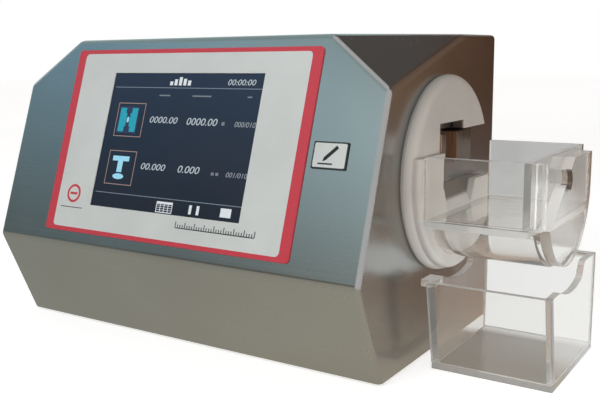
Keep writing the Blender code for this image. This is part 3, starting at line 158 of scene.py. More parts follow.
CONTACT_STEPS = 10

# Marks on the rocker: places and reach as shares of its height
ROCKER_BAR, ROCKER_RING = 0.74, 0.27
ROCKER_MARK_REACH = 0.13
ROCKER_MARK_LINE = 0.0002
ROCKER_MARK_SINK = -0.0001
ROCKER_MARK_LIFT = 0.00006
ROCKER_RING_STEPS = 24
ROCKER_SEARCH = 0.01

# Edges
WELD_DISTANCE = 0.000002
ACRYLIC_BEVEL = 0.00035
METAL_BEVEL = 0.0003
BEVEL_SEGMENTS = 2
SHARP_ANGLE = math.radians(35)

# Noise: the values between which grain and clouds run
GRAIN_SPREAD = (0.30, 0.70)
CLOUD_SPREAD = (0.35, 0.65)
NOISE_MIDDLE = 0.5
FINE_BUMP = 0.00003

# Brushed metal. SIDE_STREAKS: streaks on faces that look sideways, as a share of the others
STREAKS_ALONG_X, STREAKS_ALONG_Y = (12, 1400, 1400), (1400, 12, 1400)
SIDEWAYS_ENDS = (0.75, 0.80)
SIDE_STREAKS = 0.35
STREAK_ROUGHNESS = 0.03
METAL_CLOUD = 0.05
METAL_CLOUD_ROUGHNESS = (-0.02, 0.03)

# Jaws: one brown steel in three tones by face direction, as painted light and shade
JAW_STREAKS = (900, 900, 14)
JAW_SIDE_SHADE, JAW_FRONT_LIT, JAW_TOP_SHADE = (0.105, 0.078, 0.055), (0.46, 0.26, 0.155), (0.05, 0.04, 0.03)
JAW_DARK = (0.72, 0.70, 0.68)
JAW_ROUGHNESS = (0.26, 0.36)

# Plastics, inks and the screen
PLASTIC_SHADE = 0.93
PLASTIC_CLOUD_SCALE = 25
PLASTIC_ROUGHNESS = 0.06
PLASTIC_BUMP = 0.15
INK_SHADE = 0.88
INK_SWING = 0.05
LIT_ROUGHNESS = 0.3
LIT_GLOW = 0.4
SYMBOL_GLOW = 0.5
SCREEN_LOW_TONE, SCREEN_HIGH_TONE = (0.007, 0.010, 0.017), (0.010, 0.017, 0.036)
SCREEN_CLOUD, SCREEN_CLOUD_SHARE = (0.014, 0.015, 0.023), 0.35
SCREEN_ROUGHNESS = (0.16, 0.22)

# White surround: painted shade towards its top, painted shadow inside the jaws' window
SURROUND_LOW_TONE = (0.90, 0.90, 0.89)
SURROUND_TOP_SHADE = (0.54, 0.508, 0.475)
SURROUND_SHADE_FADE = 0.45
SURROUND_CLOUD = (0.60, 0.575, 0.545)
SURROUND_CLOUD_SHARE = 0.5
SURROUND_ROUGHNESS = (0.32, 0.44)
WINDOW_SHADE = (0.10, 0.07, 0.05)
SURROUND_THICKNESS = 0.0076
WINDOW_SHADE_DEPTH = 0.0016
WINDOW_SHADE_SHARE = 0.40

# Acrylic: polished faces, saw-cut edges, and a painted highlight on edges that look upwards
FACE_TINT, FACE_CLEAR = (0.985, 0.99, 0.985), 0.98
FACE_ROUGHNESS = (0.0, 0.03)
EDGE_ENDS = (0.45, 0.55)
EDGE_ROUGHNESS = (0.06, 0.20)
SAW_CUT = (60, 60, 1500)
SAWN_TINT, SAWN_CLEAR = (0.93, 0.93, 0.92), 0.80
TOP_EDGE_ENDS = (0.5, 0.7)
TOP_EDGE_HIGHLIGHT_TINT, TOP_EDGE_CLEAR = (0.97, 0.96, 0.95), 0.45
FACE_SHADOW, EDGE_SHADOW = (0.98, 0.98, 0.98), (0.85, 0.85, 0.85)
TROUGH_FLOOR_TINT, TROUGH_FLOOR_CLEAR = (0.95, 0.95, 0.94), 0.55
BOX_FLOOR_TINT, BOX_FLOOR_CLEAR = (0.48, 0.49, 0.50), 0.35

# End plate: pale rim in front and below, painted brown reflection on the rim behind, painted shade in the
# hole near the outer face
FRONT_RIM_TINT, FRONT_RIM_CLEAR = (0.95, 0.95, 0.94), 0.85
REAR_RIM_REFLECTION_TINT, REAR_RIM_CLEAR = (0.27, 0.185, 0.125), 0.25
RIM_FRONT_ENDS = (-0.2, 0.2)
RIM_SHADE_ENDS = (-0.034, -0.024)
HOLE_SHADE, HOLE_CLEAR = (0.11, 0.08, 0.065), 0.15
HOLE_REACH = 1.1
HOLE_FRONT_ENDS = (0.25, 0.55)
HOLE_SHADE_ENDS = (-0.0038, -0.0030)

# Floor and world. MIRRORED: glossy depth beyond which a ray shows a mirror image
FLOOR_WHITE = 0.60
WORLD_LIGHT = (0.385, 0.37, 0.355)
MIRRORED = 0.5

# Bench: what metal and acrylic mirror of the floor. Ends in metres, along X, along Y or along BESIDE_SLOPE
BENCH_FRONT_LEFT = (0.53, 0.53, 0.46)
BENCH_FRONT_RIGHT = (0.70, 0.65, 0.53)
BENCH_BACK = (0.38, 0.245, 0.18)
BENCH_FAR = (0.12, 0.06, 0.035)
BENCH_REAR = (0.46, 0.46, 0.45)
BENCH_RIGHT = (0.95, 0.95, 0.94)
BENCH_RIGHT_ENDS = (-0.25, 0.15)
BENCH_BACK_ENDS = (-0.10, 0.12)
BENCH_FAR_ENDS = (0.12, 0.90)
BESIDE_SLOPE = (1, -0.36, 0)
BESIDE_ENDS = (-0.14, -0.02)
WHITE_SIDE_ENDS = (0.11, 0.15)
WHITE_FRONT_ENDS = (-0.01, 0.03)
WHITE_BACK_ENDS = (0.70, 0.85)

# Seen in acrylic and through it. THROUGH_WALLS: transmission depth beyond which a ray has passed a wall
THROUGH_WALLS = 2.5
THROUGH_WALLS_TINT = (0.93, 0.86, 0.79)
PALE_IN_CLEAR_SHARE = 0.05
IN_CLEAR_EDGES = (0.54, 0.52, 0.49)
UNDER_BOX = (0.15, 0.135, 0.115)
UNDER_BOX_ENDS = (-0.012, 0.004)
BEHIND_BOX = (0.86, 0.86, 0.855)
VIEW_ACROSS_FLOOR = (-0.546, 0.838, 0)
BEHIND_TROUGH_ENDS = (0.10, 0.42)
BEHIND_TROUGH = (0.47, 0.47, 0.47)
BEHIND_END_PLATE = (0.85, 0.85, 0.85)
END_PLATE_ENDS = (-0.005, 0.047)
BROWN_PATCH = (0.21, 0.155, 0.115)
PATCH_LEFT, PATCH_FRONT, PATCH_BACK, PATCH_BLUR = 0.052, 0.300, 0.530, 0.020

# Cards: name, place from the housing's lower front edge, size, colours low left, low right, high left and
# high right, and the shares of the width and of the height over which these blend
CARD_HALF = 0.5
CARDS = (
    ("front_left_card", (-1.15, -0.96, 0.55), (2.2, 1.15),
     ((0.148, 0.11, 0.063), (0.205, 0.256, 0.256), (0.952, 1.281, 1.353), (0.452, 0.792, 1.014)),
     (0.25, 0.5), (0.35, 0.95)),
    ("high_left_card", (-0.92, -0.33, 1.39), (2.2, 1.4),
     ((0.46, 0.63, 0.66), (0.46, 0.63, 0.66), (0.50, 0.65, 0.67), (0.50, 0.65, 0.67)), WHOLE, WHOLE),
    ("back_left_card", (-1.05, 1.25, 0.75), (2.1, 1.9),
     ((0.58, 0.76, 0.78), (0.58, 0.76, 0.78), (0.60, 0.80, 0.82), (0.60, 0.80, 0.82)), WHOLE, WHOLE),
    ("back_right_card", (0.59, 1.25, 0.60), (1.8, 1.25),
     ((0.085, 0.030, 0.012), (0.44, 0.28, 0.185), (0.13, 0.055, 0.027), (0.32, 0.21, 0.145)),
     (0.50, 0.61), (0.1, 0.5)),
    ("rear_card", (-0.04, 1.23, 0.42), (0.70, 0.85),
     ((0.46, 0.46, 0.45), (0.16, 0.09, 0.055), (0.56, 0.58, 0.59), (0.20, 0.125, 0.085)),
     (0.3, 0.9), WHOLE),
    ("overhead_card", (0.35, 0.85, 1.45), (1.9, 1.4),
     ((0.165, 0.15, 0.14), (0.165, 0.15, 0.14), (0.14, 0.125, 0.115), (0.14, 0.125, 0.115)),
     WHOLE, WHOLE),
)

# Lamps: name, place, target, size, watts, colour
LAMPS = (
    ("key", (-0.35, -1.6, 1.4), (0, 0, 0.1), (1.4, 1.0), 13.0, (1.0, 1.0, 0.99)),
    ("side_fill", (0.60, -0.25, 0.05), (0.12, -0.02, 0.04), (0.35, 0.08), 0.9, (1.0, 0.97, 0.93)),
)

# Camera
CAMERA_PLACE = Vector((0.37014, -0.41562, 0.19577))
CAMERA_YAW = math.radians(33.10)
CAMERA_PITCH = math.radians(10.05)
CAMERA_ROLL = math.radians(-0.73)
CAMERA_LENS = 49.44
CAMERA_SENSOR = 36.0

hood_low, hood_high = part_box("hood")
HOUSING_PLACE = Vector(((hood_low.x + hood_high.x) / 2, hood_high.y - HOUSING_DEPTH, hood_low.z))
PANEL_PLACE = HOUSING_PLACE + Vector((0, -NOSE_REACH, NOSE_HEIGHT))
PANEL_ACROSS = Vector(ALONG_X)
PANEL_UP = Vector((0, TOP_SETBACK + NOSE_REACH, HOUSING_HEIGHT - NOSE_HEIGHT)).normalized()
PANEL_OUT = PANEL_ACROSS.cross(PANEL_UP)


def moved(ends, step):
    return ends[0] + step, ends[1] + step


def inside(ends, margin):
    return ends[0] + margin, ends[1] - margin


class Nodes:
    """Short names for the nodes of a material or of the world."""

    def __init__(self, owner):
        owner.use_nodes = True
        self.tree = owner.node_tree

    def node(self, kind, inputs=(), **settings):
        made = self.tree.nodes.new(kind)
        for key, value in settings.items():
            setattr(made, key, value)
        for key, value in dict(inputs).items():
            self.feed(made.inputs[key], value)
        return made

    def feed(self, socket, value):
        """Links an output to the socket, or sets its value."""
        if isinstance(value, bpy.types.NodeSocket):
            self.tree.links.new(value, socket)
        elif hasattr(socket.default_value, "__len__") and len(socket.default_value) == 4:
            socket.default_value = (*value[:3], 1.0)
        else:
            socket.default_value = value

    def place(self, scale=(1, 1, 1)):
        """Object coordinates, stretched."""
        source = self.node("ShaderNodeTexCoord").outputs["Object"]
        return self.node("ShaderNodeMapping", {"Vector": source, "Scale": scale}).outputs["Vector"]

    def axes(self, vector):
        return self.node("ShaderNodeSeparateXYZ", {0: vector}).outputs

    def noise(self, vector, scale=1.0, detail=3.0):
        inputs = {"Vector": vector, "Scale": scale, "Detail": detail}
        return self.node("ShaderNodeTexNoise", inputs).outputs["Fac"]

    def maths(self, operation, a, b=0.0):
        return self.node("ShaderNodeMath", {0: a, 1: b}, operation=operation).outputs[0]

    def times(self, a, b):
        return self.maths("MULTIPLY", a, b)

    def vector(self, operation, a, b=(0, 0, 0)):
        return self.node("ShaderNodeVectorMath", {0: a, 1: b}, operation=operation).outputs

    def any_ray(self, first, *others):
        """One when the ray is of any of the named kinds."""
        path = self.node("ShaderNodeLightPath").outputs
        total = path[first]
        for kind in others:
            total = self.maths("MAXIMUM", total, path[kind])
        return total

    def span(self, value, ends, out_low=0, out_high=1):
        """Runs from out_low at the first end to out_high at the second, and stays level beyond them."""
        inputs = {"Value": value, "From Min": ends[0], "From Max": ends[1],
                  "To Min": out_low, "To Max": out_high}
        return self.node("ShaderNodeMapRange", inputs).outputs["Result"]

    def around(self, noise, middle, swing):
        """A value that noise moves up and down."""
        return self.span(noise, GRAIN_SPREAD, middle - swing, middle + swing)

    def mix(self, factor, a, b, blend="MIX"):
        made = self.node("ShaderNodeMix", data_type="RGBA", blend_type=blend)
        self.feed(made.inputs[0], factor)
        self.feed(made.inputs[6], a)
        self.feed(made.inputs[7], b)
        return made.outputs[2]

    def mix_values(self, factor, a, b):
        return self.node("ShaderNodeMix", {0: factor, 2: a, 3: b}, data_type="FLOAT").outputs[0]

    def mix_shaders(self, factor, a, b):
        return self.node("ShaderNodeMixShader", {0: factor, 1: a.outputs[0], 2: b.outputs[0]})

    def along(self, vector, axis):
        """How far a vector goes along an axis or a slope."""
        return self.vector("DOT_PRODUCT", vector, axis)["Value"]

    def reach(self, place, middle):
        """Distance from the line along X through the middle."""
        flat = self.vector("MULTIPLY", self.vector("SUBTRACT", place, middle)[0], (0, 1, 1))[0]
        return self.vector("LENGTH", flat)["Value"]

    def normal_share(self, axis):
        """How squarely a face looks along an axis, either way: 0 to 1."""
        normal = self.node("ShaderNodeNewGeometry").outputs["True Normal"]
        return self.maths("ABSOLUTE", self.along(normal, axis))


class Look(Nodes):
    """A node material with a Principled shader."""

    def __init__(self, name):
        self.material = bpy.data.materials.new(name)
        super().__init__(self.material)
        self.shader = self.tree.nodes["Principled BSDF"]
        self.output = self.tree.nodes["Material Output"]

    def set(self, **values):
        for key, value in values.items():
            self.feed(self.shader.inputs[key.replace("_", " ")], value)

    def show(self, shader):
        """Puts a shader in the place of the Principled one."""
        self.feed(self.output.inputs["Surface"], shader.outputs[0])

    def bump(self, height, strength, distance):
        made = self.node("ShaderNodeBump", {"Height": height, "Strength": strength, "Distance": distance})
        self.feed(self.shader.inputs["Normal"], made.outputs["Normal"])


def brushed(name, colour, roughness, grain, metallic=1.0):
    """Brushed metal: fine streaks along X, and along Y on faces that look sideways."""
    look = Look(name)
    along_x = look.noise(look.place(STREAKS_ALONG_X))
    along_y = look.noise(look.place(STREAKS_ALONG_Y))
    sideways = look.span(look.normal_share(ALONG_X), SIDEWAYS_ENDS)
    streaks = look.mix_values(sideways, along_x, along_y)
    swing = look.maths("SUBTRACT", streaks, NOISE_MIDDLE)
    swing = look.times(swing, look.span(sideways, WHOLE, 1, SIDE_STREAKS))
    streaks = look.maths("ADD", swing, NOISE_MIDDLE)
    clouds = look.noise(look.place(), scale=9, detail=4)
    tone = look.times(look.around(streaks, 1, grain), look.around(clouds, 1, METAL_CLOUD))
    tones = look.node("ShaderNodeCombineColor", {0: tone, 1: tone, 2: tone}).outputs[0]
    look.set(Base_Color=look.mix(1.0, colour, tones, "MULTIPLY"), Metallic=metallic)
    rough = look.maths("ADD", look.around(streaks, 0, STREAK_ROUGHNESS),
                       look.span(clouds, GRAIN_SPREAD, *METAL_CLOUD_ROUGHNESS))
    look.set(Roughness=look.maths("ADD", rough, roughness))
    look.bump(streaks, strength=0.02, distance=FINE_BUMP)
    return look.material


def jaw_look():
    """Dull brown steel of the jaws, with painted light and shade: lighter on the faces that look along the
    housing's depth, darkest on faces that look up or down.
    """
    look = Look("jaw_steel")
    streaks = look.noise(look.place(JAW_STREAKS))
    # Painted light and shade: one tone for each way a face looks
    tone = look.mix(look.normal_share(ALONG_Y), JAW_SIDE_SHADE, JAW_FRONT_LIT)
    tone = look.mix(look.normal_share(ALONG_Z), tone, JAW_TOP_SHADE)
    dark = look.mix(1.0, tone, JAW_DARK, "MULTIPLY")
    look.set(Base_Color=look.mix(look.span(streaks, CLOUD_SPREAD), dark, tone), Metallic=0.6)
    look.set(Roughness=look.span(streaks, GRAIN_SPREAD, *JAW_ROUGHNESS))
    look.bump(streaks, strength=0.1, distance=FINE_BUMP)
    return look.material


def plastic(name, colour, roughness, speck=600.0, depth=0.00004):
    """Moulded or machined plastic with a faint grain and cloudy tone."""
    look = Look(name)
    grain = look.noise(look.place(), speck, detail=4)
    clouds = look.noise(look.place(), PLASTIC_CLOUD_SCALE)
    dark = [channel * PLASTIC_SHADE for channel in colour]
    look.set(Base_Color=look.mix(look.span(clouds, CLOUD_SPREAD), dark, colour))
    look.set(Roughness=look.around(grain, roughness, PLASTIC_ROUGHNESS))
    look.bump(grain, strength=PLASTIC_BUMP, distance=depth)
    return look.material


def surround_look():
    """White moulding with painted shade that darkens it towards its top, and painted shadow inside the
    window that the jaws stand in.
    """
    look = Look("white_surround")
    low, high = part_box("jaw_surround")
    to_node = NODES["jaw_surround"].matrix_world.inverted()
    low, high = to_node @ low, to_node @ high
    height = high.z - low.z
    place = look.place()
    spot = look.axes(place)
    upwards = look.span(spot["Z"], (low.z, low.z + height * SURROUND_SHADE_FADE))
    grain = look.noise(place, scale=500, detail=4)
    clouds = look.noise(place, PLASTIC_CLOUD_SCALE)
    # Painted shade: darker towards the top
    body = look.mix(upwards, SURROUND_LOW_TONE, SURROUND_TOP_SHADE)
    body = look.mix(look.span(clouds, CLOUD_SPREAD, 0, SURROUND_CLOUD_SHARE), body, SURROUND_CLOUD)
    # Painted shadow on the window's walls, below the outer face
    inner = look.maths("LESS_THAN", look.reach(place, (low + high) / 2), height * WINDOW_SHADE_SHARE)
    face = low.x + SURROUND_THICKNESS
    deep = look.span(spot["X"], (face, face - WINDOW_SHADE_DEPTH))
    body = look.mix(look.times(inner, deep), body, WINDOW_SHADE)
    look.set(Base_Color=body, Roughness=look.span(grain, GRAIN_SPREAD, *SURROUND_ROUGHNESS))
    look.set(Subsurface_Weight=0.15, Subsurface_Radius=(0.004, 0.004, 0.004))
    look.bump(grain, PLASTIC_BUMP, FINE_BUMP)
    return look.material


def ink(name, colour, roughness=0.45, glow=0.0):
    """Printed ink, or a lit part of the screen."""
    look = Look(name)
    grain = look.noise(look.place(), scale=900)
    dark = [channel * INK_SHADE for channel in colour]
    look.set(Base_Color=look.mix(look.span(grain, GRAIN_SPREAD), dark, colour))
    look.set(Roughness=look.around(grain, roughness, INK_SWING))
    if glow:
        look.set(Emission_Color=colour, Emission_Strength=glow)
    return look.material


def lit(name, colour, glow=LIT_GLOW):
    return ink(name, colour, LIT_ROUGHNESS, glow)


def screen_look():
    """Dark navy display behind glass, a little cloudy, and bluer towards its top."""
    look = Look("lit_screen")
    place = look.place()
    height = look.axes(place)["Z"]
    low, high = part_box("touch_screen")
    share = look.span(height, (low.z, high.z))
    clouds = look.noise(place, scale=30, detail=2)
    body = look.mix(share, SCREEN_LOW_TONE, SCREEN_HIGH_TONE)
    body = look.mix(look.span(clouds, GRAIN_SPREAD, 0, SCREEN_CLOUD_SHARE), body, SCREEN_CLOUD)
    look.set(Base_Color=body, Roughness=look.span(clouds, GRAIN_SPREAD, *SCREEN_ROUGHNESS))
    look.set(Specular_IOR_Level=0.28, Emission_Color=body, Emission_Strength=0.8)
    return look.material


def hole_in_plate():
    """Middle of the round hole in the end plate, and its outer face, in that node's own coordinates."""
    to_node = NODES["trough_end_plate"].matrix_world.inverted()
    place = HOUSING_PLACE + Vector((0, HOLE_Y, HOLE_Z))
    outer = to_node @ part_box("trough_end_plate")[1]
    return to_node @ place, outer.x


def pale_rim(look, facing_front, backfacing, centre):
    """Where the end plate's rim keeps its pale edge instead of the painted brown reflection: in front and
    below. Backfacing turns flipped normals outwards.
    """
    outwards = look.times(facing_front, look.span(backfacing, WHOLE, 1, -1))
    height = look.axes(look.place())["Z"]
    low = look.span(height, moved(RIM_SHADE_ENDS, centre.z), 1, 0)
    return look.maths("MAXIMUM", look.span(outwards, RIM_FRONT_ENDS), low)


def hole_shade_mask(look, facing_front, edge, centre, outer):
    """Where the end plate's hole gets painted shade: on its wall that looks to the front, near the outer
    face.
    """
    reach = look.reach(look.place(), centre)
    dark = look.times(edge, look.maths("LESS_THAN", reach, HOLE_RADIUS * HOLE_REACH))
    dark = look.times(dark, look.span(facing_front, HOLE_FRONT_ENDS))
    along = look.axes(look.place())["X"]
    return look.times(dark, look.span(along, moved(HOLE_SHADE_ENDS, outer)))


def clear(name, thin_axis, edge_tint=SAWN_TINT, edge_clear=SAWN_CLEAR, hole=None, bent=False):
    """Clear acrylic plate: polished faces, sawn edges where a face doesn't look along the thin axis, and a
    painted highlight on edges that look upwards.

    A bent plate has its edges where the face looks along the given axis. A plate with a hole keeps a pale
    rim in front and below, has a painted brown reflection on the rest of its rim, and painted shade inside
    the hole.
    """
    look = Look(name)
    edge = look.span(look.normal_share(thin_axis), EDGE_ENDS, 0 if bent else 1, 1 if bent else 0)
    waves = look.noise(look.place(), scale=90)
    cut = look.noise(look.place(SAW_CUT), detail=2)
    edge_rough = look.span(cut, GRAIN_SPREAD, *EDGE_ROUGHNESS)
    face_rough = look.span(waves, GRAIN_SPREAD, *FACE_ROUGHNESS)
    rough = look.mix_values(edge, face_rough, edge_rough)
    geometry = look.node("ShaderNodeNewGeometry")
    normal = geometry.outputs["True Normal"]
    # Painted brown reflection on the rim, except in front and below
    if hole:
        facing_front = look.along(normal, TO_FRONT)
        pale = pale_rim(look, facing_front, geometry.outputs["Backfacing"], hole[0])
        edge_tint = look.mix(pale, edge_tint, FRONT_RIM_TINT)
        edge_clear = look.span(pale, WHOLE, edge_clear, FRONT_RIM_CLEAR)
    colour = look.mix(edge, FACE_TINT, edge_tint)
    # Painted highlight: edges that look upwards are paler and less clear
    top = look.times(edge, look.span(look.along(normal, ALONG_Z), TOP_EDGE_ENDS))
    colour = look.mix(top, colour, TOP_EDGE_HIGHLIGHT_TINT)
    clearness = look.times(look.span(edge, WHOLE, FACE_CLEAR, edge_clear),
                           look.span(top, WHOLE, 1, TOP_EDGE_CLEAR))
    # Painted shade inside the hole
    if hole:
        dark = hole_shade_mask(look, facing_front, edge, *hole)
        colour = look.mix(dark, colour, HOLE_SHADE)
        clearness = look.times(clearness, look.span(dark, WHOLE, 1, HOLE_CLEAR))
    look.set(Base_Color=colour, Roughness=rough, Transmission_Weight=clearness, IOR=1.49)
    look.bump(waves, strength=0.08, distance=0.0003)
    shadow = look.node("ShaderNodeLightPath").outputs["Is Shadow Ray"]
    film = look.node("ShaderNodeBsdfTransparent", {"Color": look.mix(edge, FACE_SHADOW, EDGE_SHADOW)})
    look.show(look.mix_shaders(shadow, look.shader, film))
    depth = look.node("ShaderNodeVolumeAbsorption", {"Color": (0.80, 0.82, 0.79), "Density": 2.5})
    look.feed(look.output.inputs["Volume"], depth.outputs[0])
    return look.material


STEEL = brushed("brushed_steel", (0.36, 0.365, 0.36), roughness=0.24, grain=0.02)
REAR_STEEL = brushed("satin_rear_steel", (0.52, 0.53, 0.53), roughness=0.34, grain=0.03, metallic=0.75)
BRIGHT = brushed("bright_steel", (0.40, 0.39, 0.38), roughness=0.16, grain=0.02)
JAW_STEEL = jaw_look()
ALUMINIUM = brushed("satin_aluminium", (0.58, 0.59, 0.60), roughness=0.38, grain=0.05)
DARK_METAL = brushed("dark_metal", (0.06, 0.06, 0.06), roughness=0.42, grain=0.05)
BRASS = brushed("brass", (0.62, 0.44, 0.18), roughness=0.28, grain=0.05)
WHITE = surround_look()
FILM = plastic("overlay_film", (0.74, 0.785, 0.78), roughness=0.40, speck=1500, depth=0.00001)
BLACK = plastic("black_plastic", (0.018, 0.018, 0.019), roughness=0.40)
GASKET = plastic("pale_gasket", (0.60, 0.585, 0.57), roughness=0.60)
RUBBER = plastic("black_rubber", (0.022, 0.022, 0.022), roughness=0.75, speck=900, depth=0.00010)
BOARD = plastic("circuit_board", (0.02, 0.16, 0.07), roughness=0.45)
SCREEN = screen_look()
CLEAR_X = clear("acrylic_end_walls", ALONG_X)
CLEAR_Y = clear("acrylic_long_walls", ALONG_Y)
CLEAR_BENT = clear("acrylic_shell", ALONG_X, bent=True)
CLEAR_TROUGH_FLOOR = clear("acrylic_trough_floor", ALONG_Z, TROUGH_FLOOR_TINT, TROUGH_FLOOR_CLEAR)
CLEAR_BOX_FLOOR = clear("acrylic_box_floor", ALONG_Z, BOX_FLOOR_TINT, BOX_FLOOR_CLEAR)
CLEAR_ROUND = clear("acrylic_end_plate", ALONG_X, REAR_RIM_REFLECTION_TINT, REAR_RIM_CLEAR, hole_in_plate())
RED_INK = ink("red_ink", (0.70, 0.055, 0.085), roughness=0.42)
BLACK_INK = ink("black_ink", (0.012, 0.012, 0.013))
WHITE_INK = ink("white_ink", (0.66, 0.68, 0.68))
LIT_WHITE = lit("lit_white", (0.62, 0.66, 0.70))
LIT_NUMBER = lit("lit_number", (0.42, 0.48, 0.53))
LIT_DIM = lit("lit_dim", (0.25, 0.27, 0.31))
LIT_GREY = lit("lit_grey", (0.15, 0.17, 0.20))
LIT_LINE = lit("lit_line", (0.16, 0.20, 0.25))
LIT_TAN = lit("lit_tan", (0.32, 0.22, 0.19))
LIT_TEAL = lit("lit_teal", (0.012, 0.27, 0.36), SYMBOL_GLOW)
LIT_CYAN = lit("lit_cyan", (0.26, 0.56, 0.72), SYMBOL_GLOW)
WELL_BLUE = lit("symbol_ground", (0.016, 0.022, 0.060), SYMBOL_GLOW)


def dress(names, material):
    for name in names.split():
        slots = NODES[name].data.materials
        slots.clear()
        slots.append(material)


dress("hood", STEEL)
dress("rear_panel", REAR_STEEL)
dress("guide_rod_1 guide_rod_2 lead_screw motor_shaft serial_port printer_port", BRIGHT)
dress("fixed_jaw moving_jaw", JAW_STEEL)
dress("rear_screw_1 rear_screw_2 rear_screw_3 rear_screw_4 rear_screw_5 rear_screw_6", BRIGHT)
dress("base_plate display_bracket mechanism_frame jaw_carriage", ALUMINIUM)
dress("load_cell screw_coupling power_supply", ALUMINIUM)
dress("display_module drive_motor", DARK_METAL)
dress("display_post_1 display_post_2 display_post_3 display_post_4", BRASS)
dress("board_post_1 board_post_2 board_post_3 board_post_4", BRASS)
dress("jaw_surround", WHITE)
dress("front_overlay", FILM)
dress("stylus_label switch_bezel switch_rocker power_inlet", BLACK)
dress("foot_1 foot_2 foot_3 foot_4", RUBBER)
dress("main_board", BOARD)
dress("touch_screen", SCREEN)
dress("trough_end_wall box_left_wall box_right_wall", CLEAR_X)
dress("trough_shell", CLEAR_BENT)
dress("trough_end_plate", CLEAR_ROUND)
dress("trough_front_wall trough_rear_wall box_front_wall box_rear_wall", CLEAR_Y)
dress("trough_floor", CLEAR_TROUGH_FLOOR)
dress("box_floor", CLEAR_BOX_FLOOR)


def soften(names, bevel=0.0):
    """Rounds the shading of CAD nodes, and takes a fine bevel off the sharp edges where it is given."""
    for name in names.split():
        node = NODES[name]
        weld = node.modifiers.new("weld", "WELD")
        weld.merge_threshold = WELD_DISTANCE
        if bevel:
            edge = node.modifiers.new("edge", "BEVEL")
            edge.width = bevel
            edge.segments = BEVEL_SEGMENTS
            edge.limit_method = "ANGLE"
            edge.angle_limit = SHARP_ANGLE
        crisp = node.modifiers.new("crisp", "EDGE_SPLIT")
        crisp.split_angle = SHARP_ANGLE
        node.modifiers.new("shading", "WEIGHTED_NORMAL")


soften("hood jaw_surround trough_shell trough_end_plate box_left_wall box_right_wall")
soften("trough_end_wall trough_front_wall trough_rear_wall trough_floor", ACRYLIC_BEVEL)
soften("box_front_wall box_rear_wall box_floor", ACRYLIC_BEVEL)
soften("fixed_jaw moving_jaw power_inlet switch_bezel switch_rocker", METAL_BEVEL)
soften("foot_1 foot_2 foot_3 foot_4")
soften("rear_screw_1 rear_screw_2 rear_screw_3 rear_screw_4 rear_screw_5 rear_screw_6")


def on_panel(u, v, lift):
    return PANEL_PLACE + PANEL_ACROSS * u + PANEL_UP * v + PANEL_OUT * lift


def bar(u_range, v_range):
    left, right = u_range
    low, high = v_range
    return [(left, low), (right, low), (right, high), (left, high)]


def arc(radius, start, end, steps):
    turns = [start + (end - start) * i / steps for i in range(steps + 1)]
    return [(radius * math.cos(turn), radius * math.sin(turn)) for turn in turns]


def circle(radius, steps):
    return arc(radius, 0, 2 * math.pi, steps)[:-1]


def rounded(u_range, v_range, radius):
    """Bar with rounded corners, from the lower right corner on."""
    centres = bar(inside(u_range, radius), inside(v_range, radius))
    points = []
    for quarter, (u, v) in enumerate(centres[1:] + centres[:1], start=-1):
        for i in range(CORNER_STEPS + 1):
            angle = math.pi / 2 * quarter + math.pi / 2 * i / CORNER_STEPS
            points.append((u + radius * math.cos(angle), v + radius * math.sin(angle)))
    return points


def oval(centre, radius_u, radius_v):
    return [(centre[0] + radius_u * x, centre[1] + radius_v * y) for x, y in circle(1, OVAL_STEPS)]


def stroke(start, end, width):
    """A straight line with square ends as a four-cornered outline."""
    a, b = Vector(start), Vector(end)
    side = (b - a).normalized().orthogonal() * width / 2
    return [tuple(a + side), tuple(b + side), tuple(b - side), tuple(a - side)]


def add_object(name, data):
    made = bpy.data.objects.new(name, data)
    bpy.context.scene.collection.objects.link(made)
    return made


def mesh_object(name, bm):
    mesh = bpy.data.meshes.new(name)
    bm.to_mesh(mesh)
    bm.free()
    return add_object(name, mesh)


def mesh_piece(name, bm, material, body="housing"):
    bmesh.ops.recalc_face_normals(bm, faces=bm.faces[:])
    piece = mesh_object(name, bm)
    piece.data.materials.append(material)
    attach(piece, body)


def add_walls(bm, loops, pairs):
    """Faces between pairs of closed loops with as many points."""
    count = len(loops[0])
    for i in range(count):
        j = (i + 1) % count
        for a, b in pairs:
            bm.faces.new((loops[a][i], loops[a][j], loops[b][j], loops[b][i]))


def add_solid(bm, loops):
    """Closed body from two loops, or a ring from two pairs of loops."""
    if len(loops) == 2:
        add_walls(bm, loops, ((0, 1),))
        bm.faces.new(loops[0])
        bm.faces.new(loops[1])
    else:
        add_walls(bm, loops, ((0, 1), (2, 3), (0, 2), (1, 3)))


def add_slab(bm, outlines, lift, thickness=PRINT_THICKNESS):
    """Thin print: one outline, or the band between an outline and a hole with as many points."""
    loops = []
    for points in outlines:
        for level in (lift, lift + thickness):
            loops.append([bm.verts.new(on_panel(u, v, level)) for u, v in points])
    add_solid(bm, loops)


def print_bands(name, bands, lift, material, thickness=PRINT_THICKNESS):
    bm = bmesh.new()
    for outlines in bands:
        add_slab(bm, outlines, lift, thickness)
    mesh_piece(name, bm, material)


def print_shapes(name, outlines, lift, material):
    print_bands(name, [(outline,) for outline in outlines], lift, material)


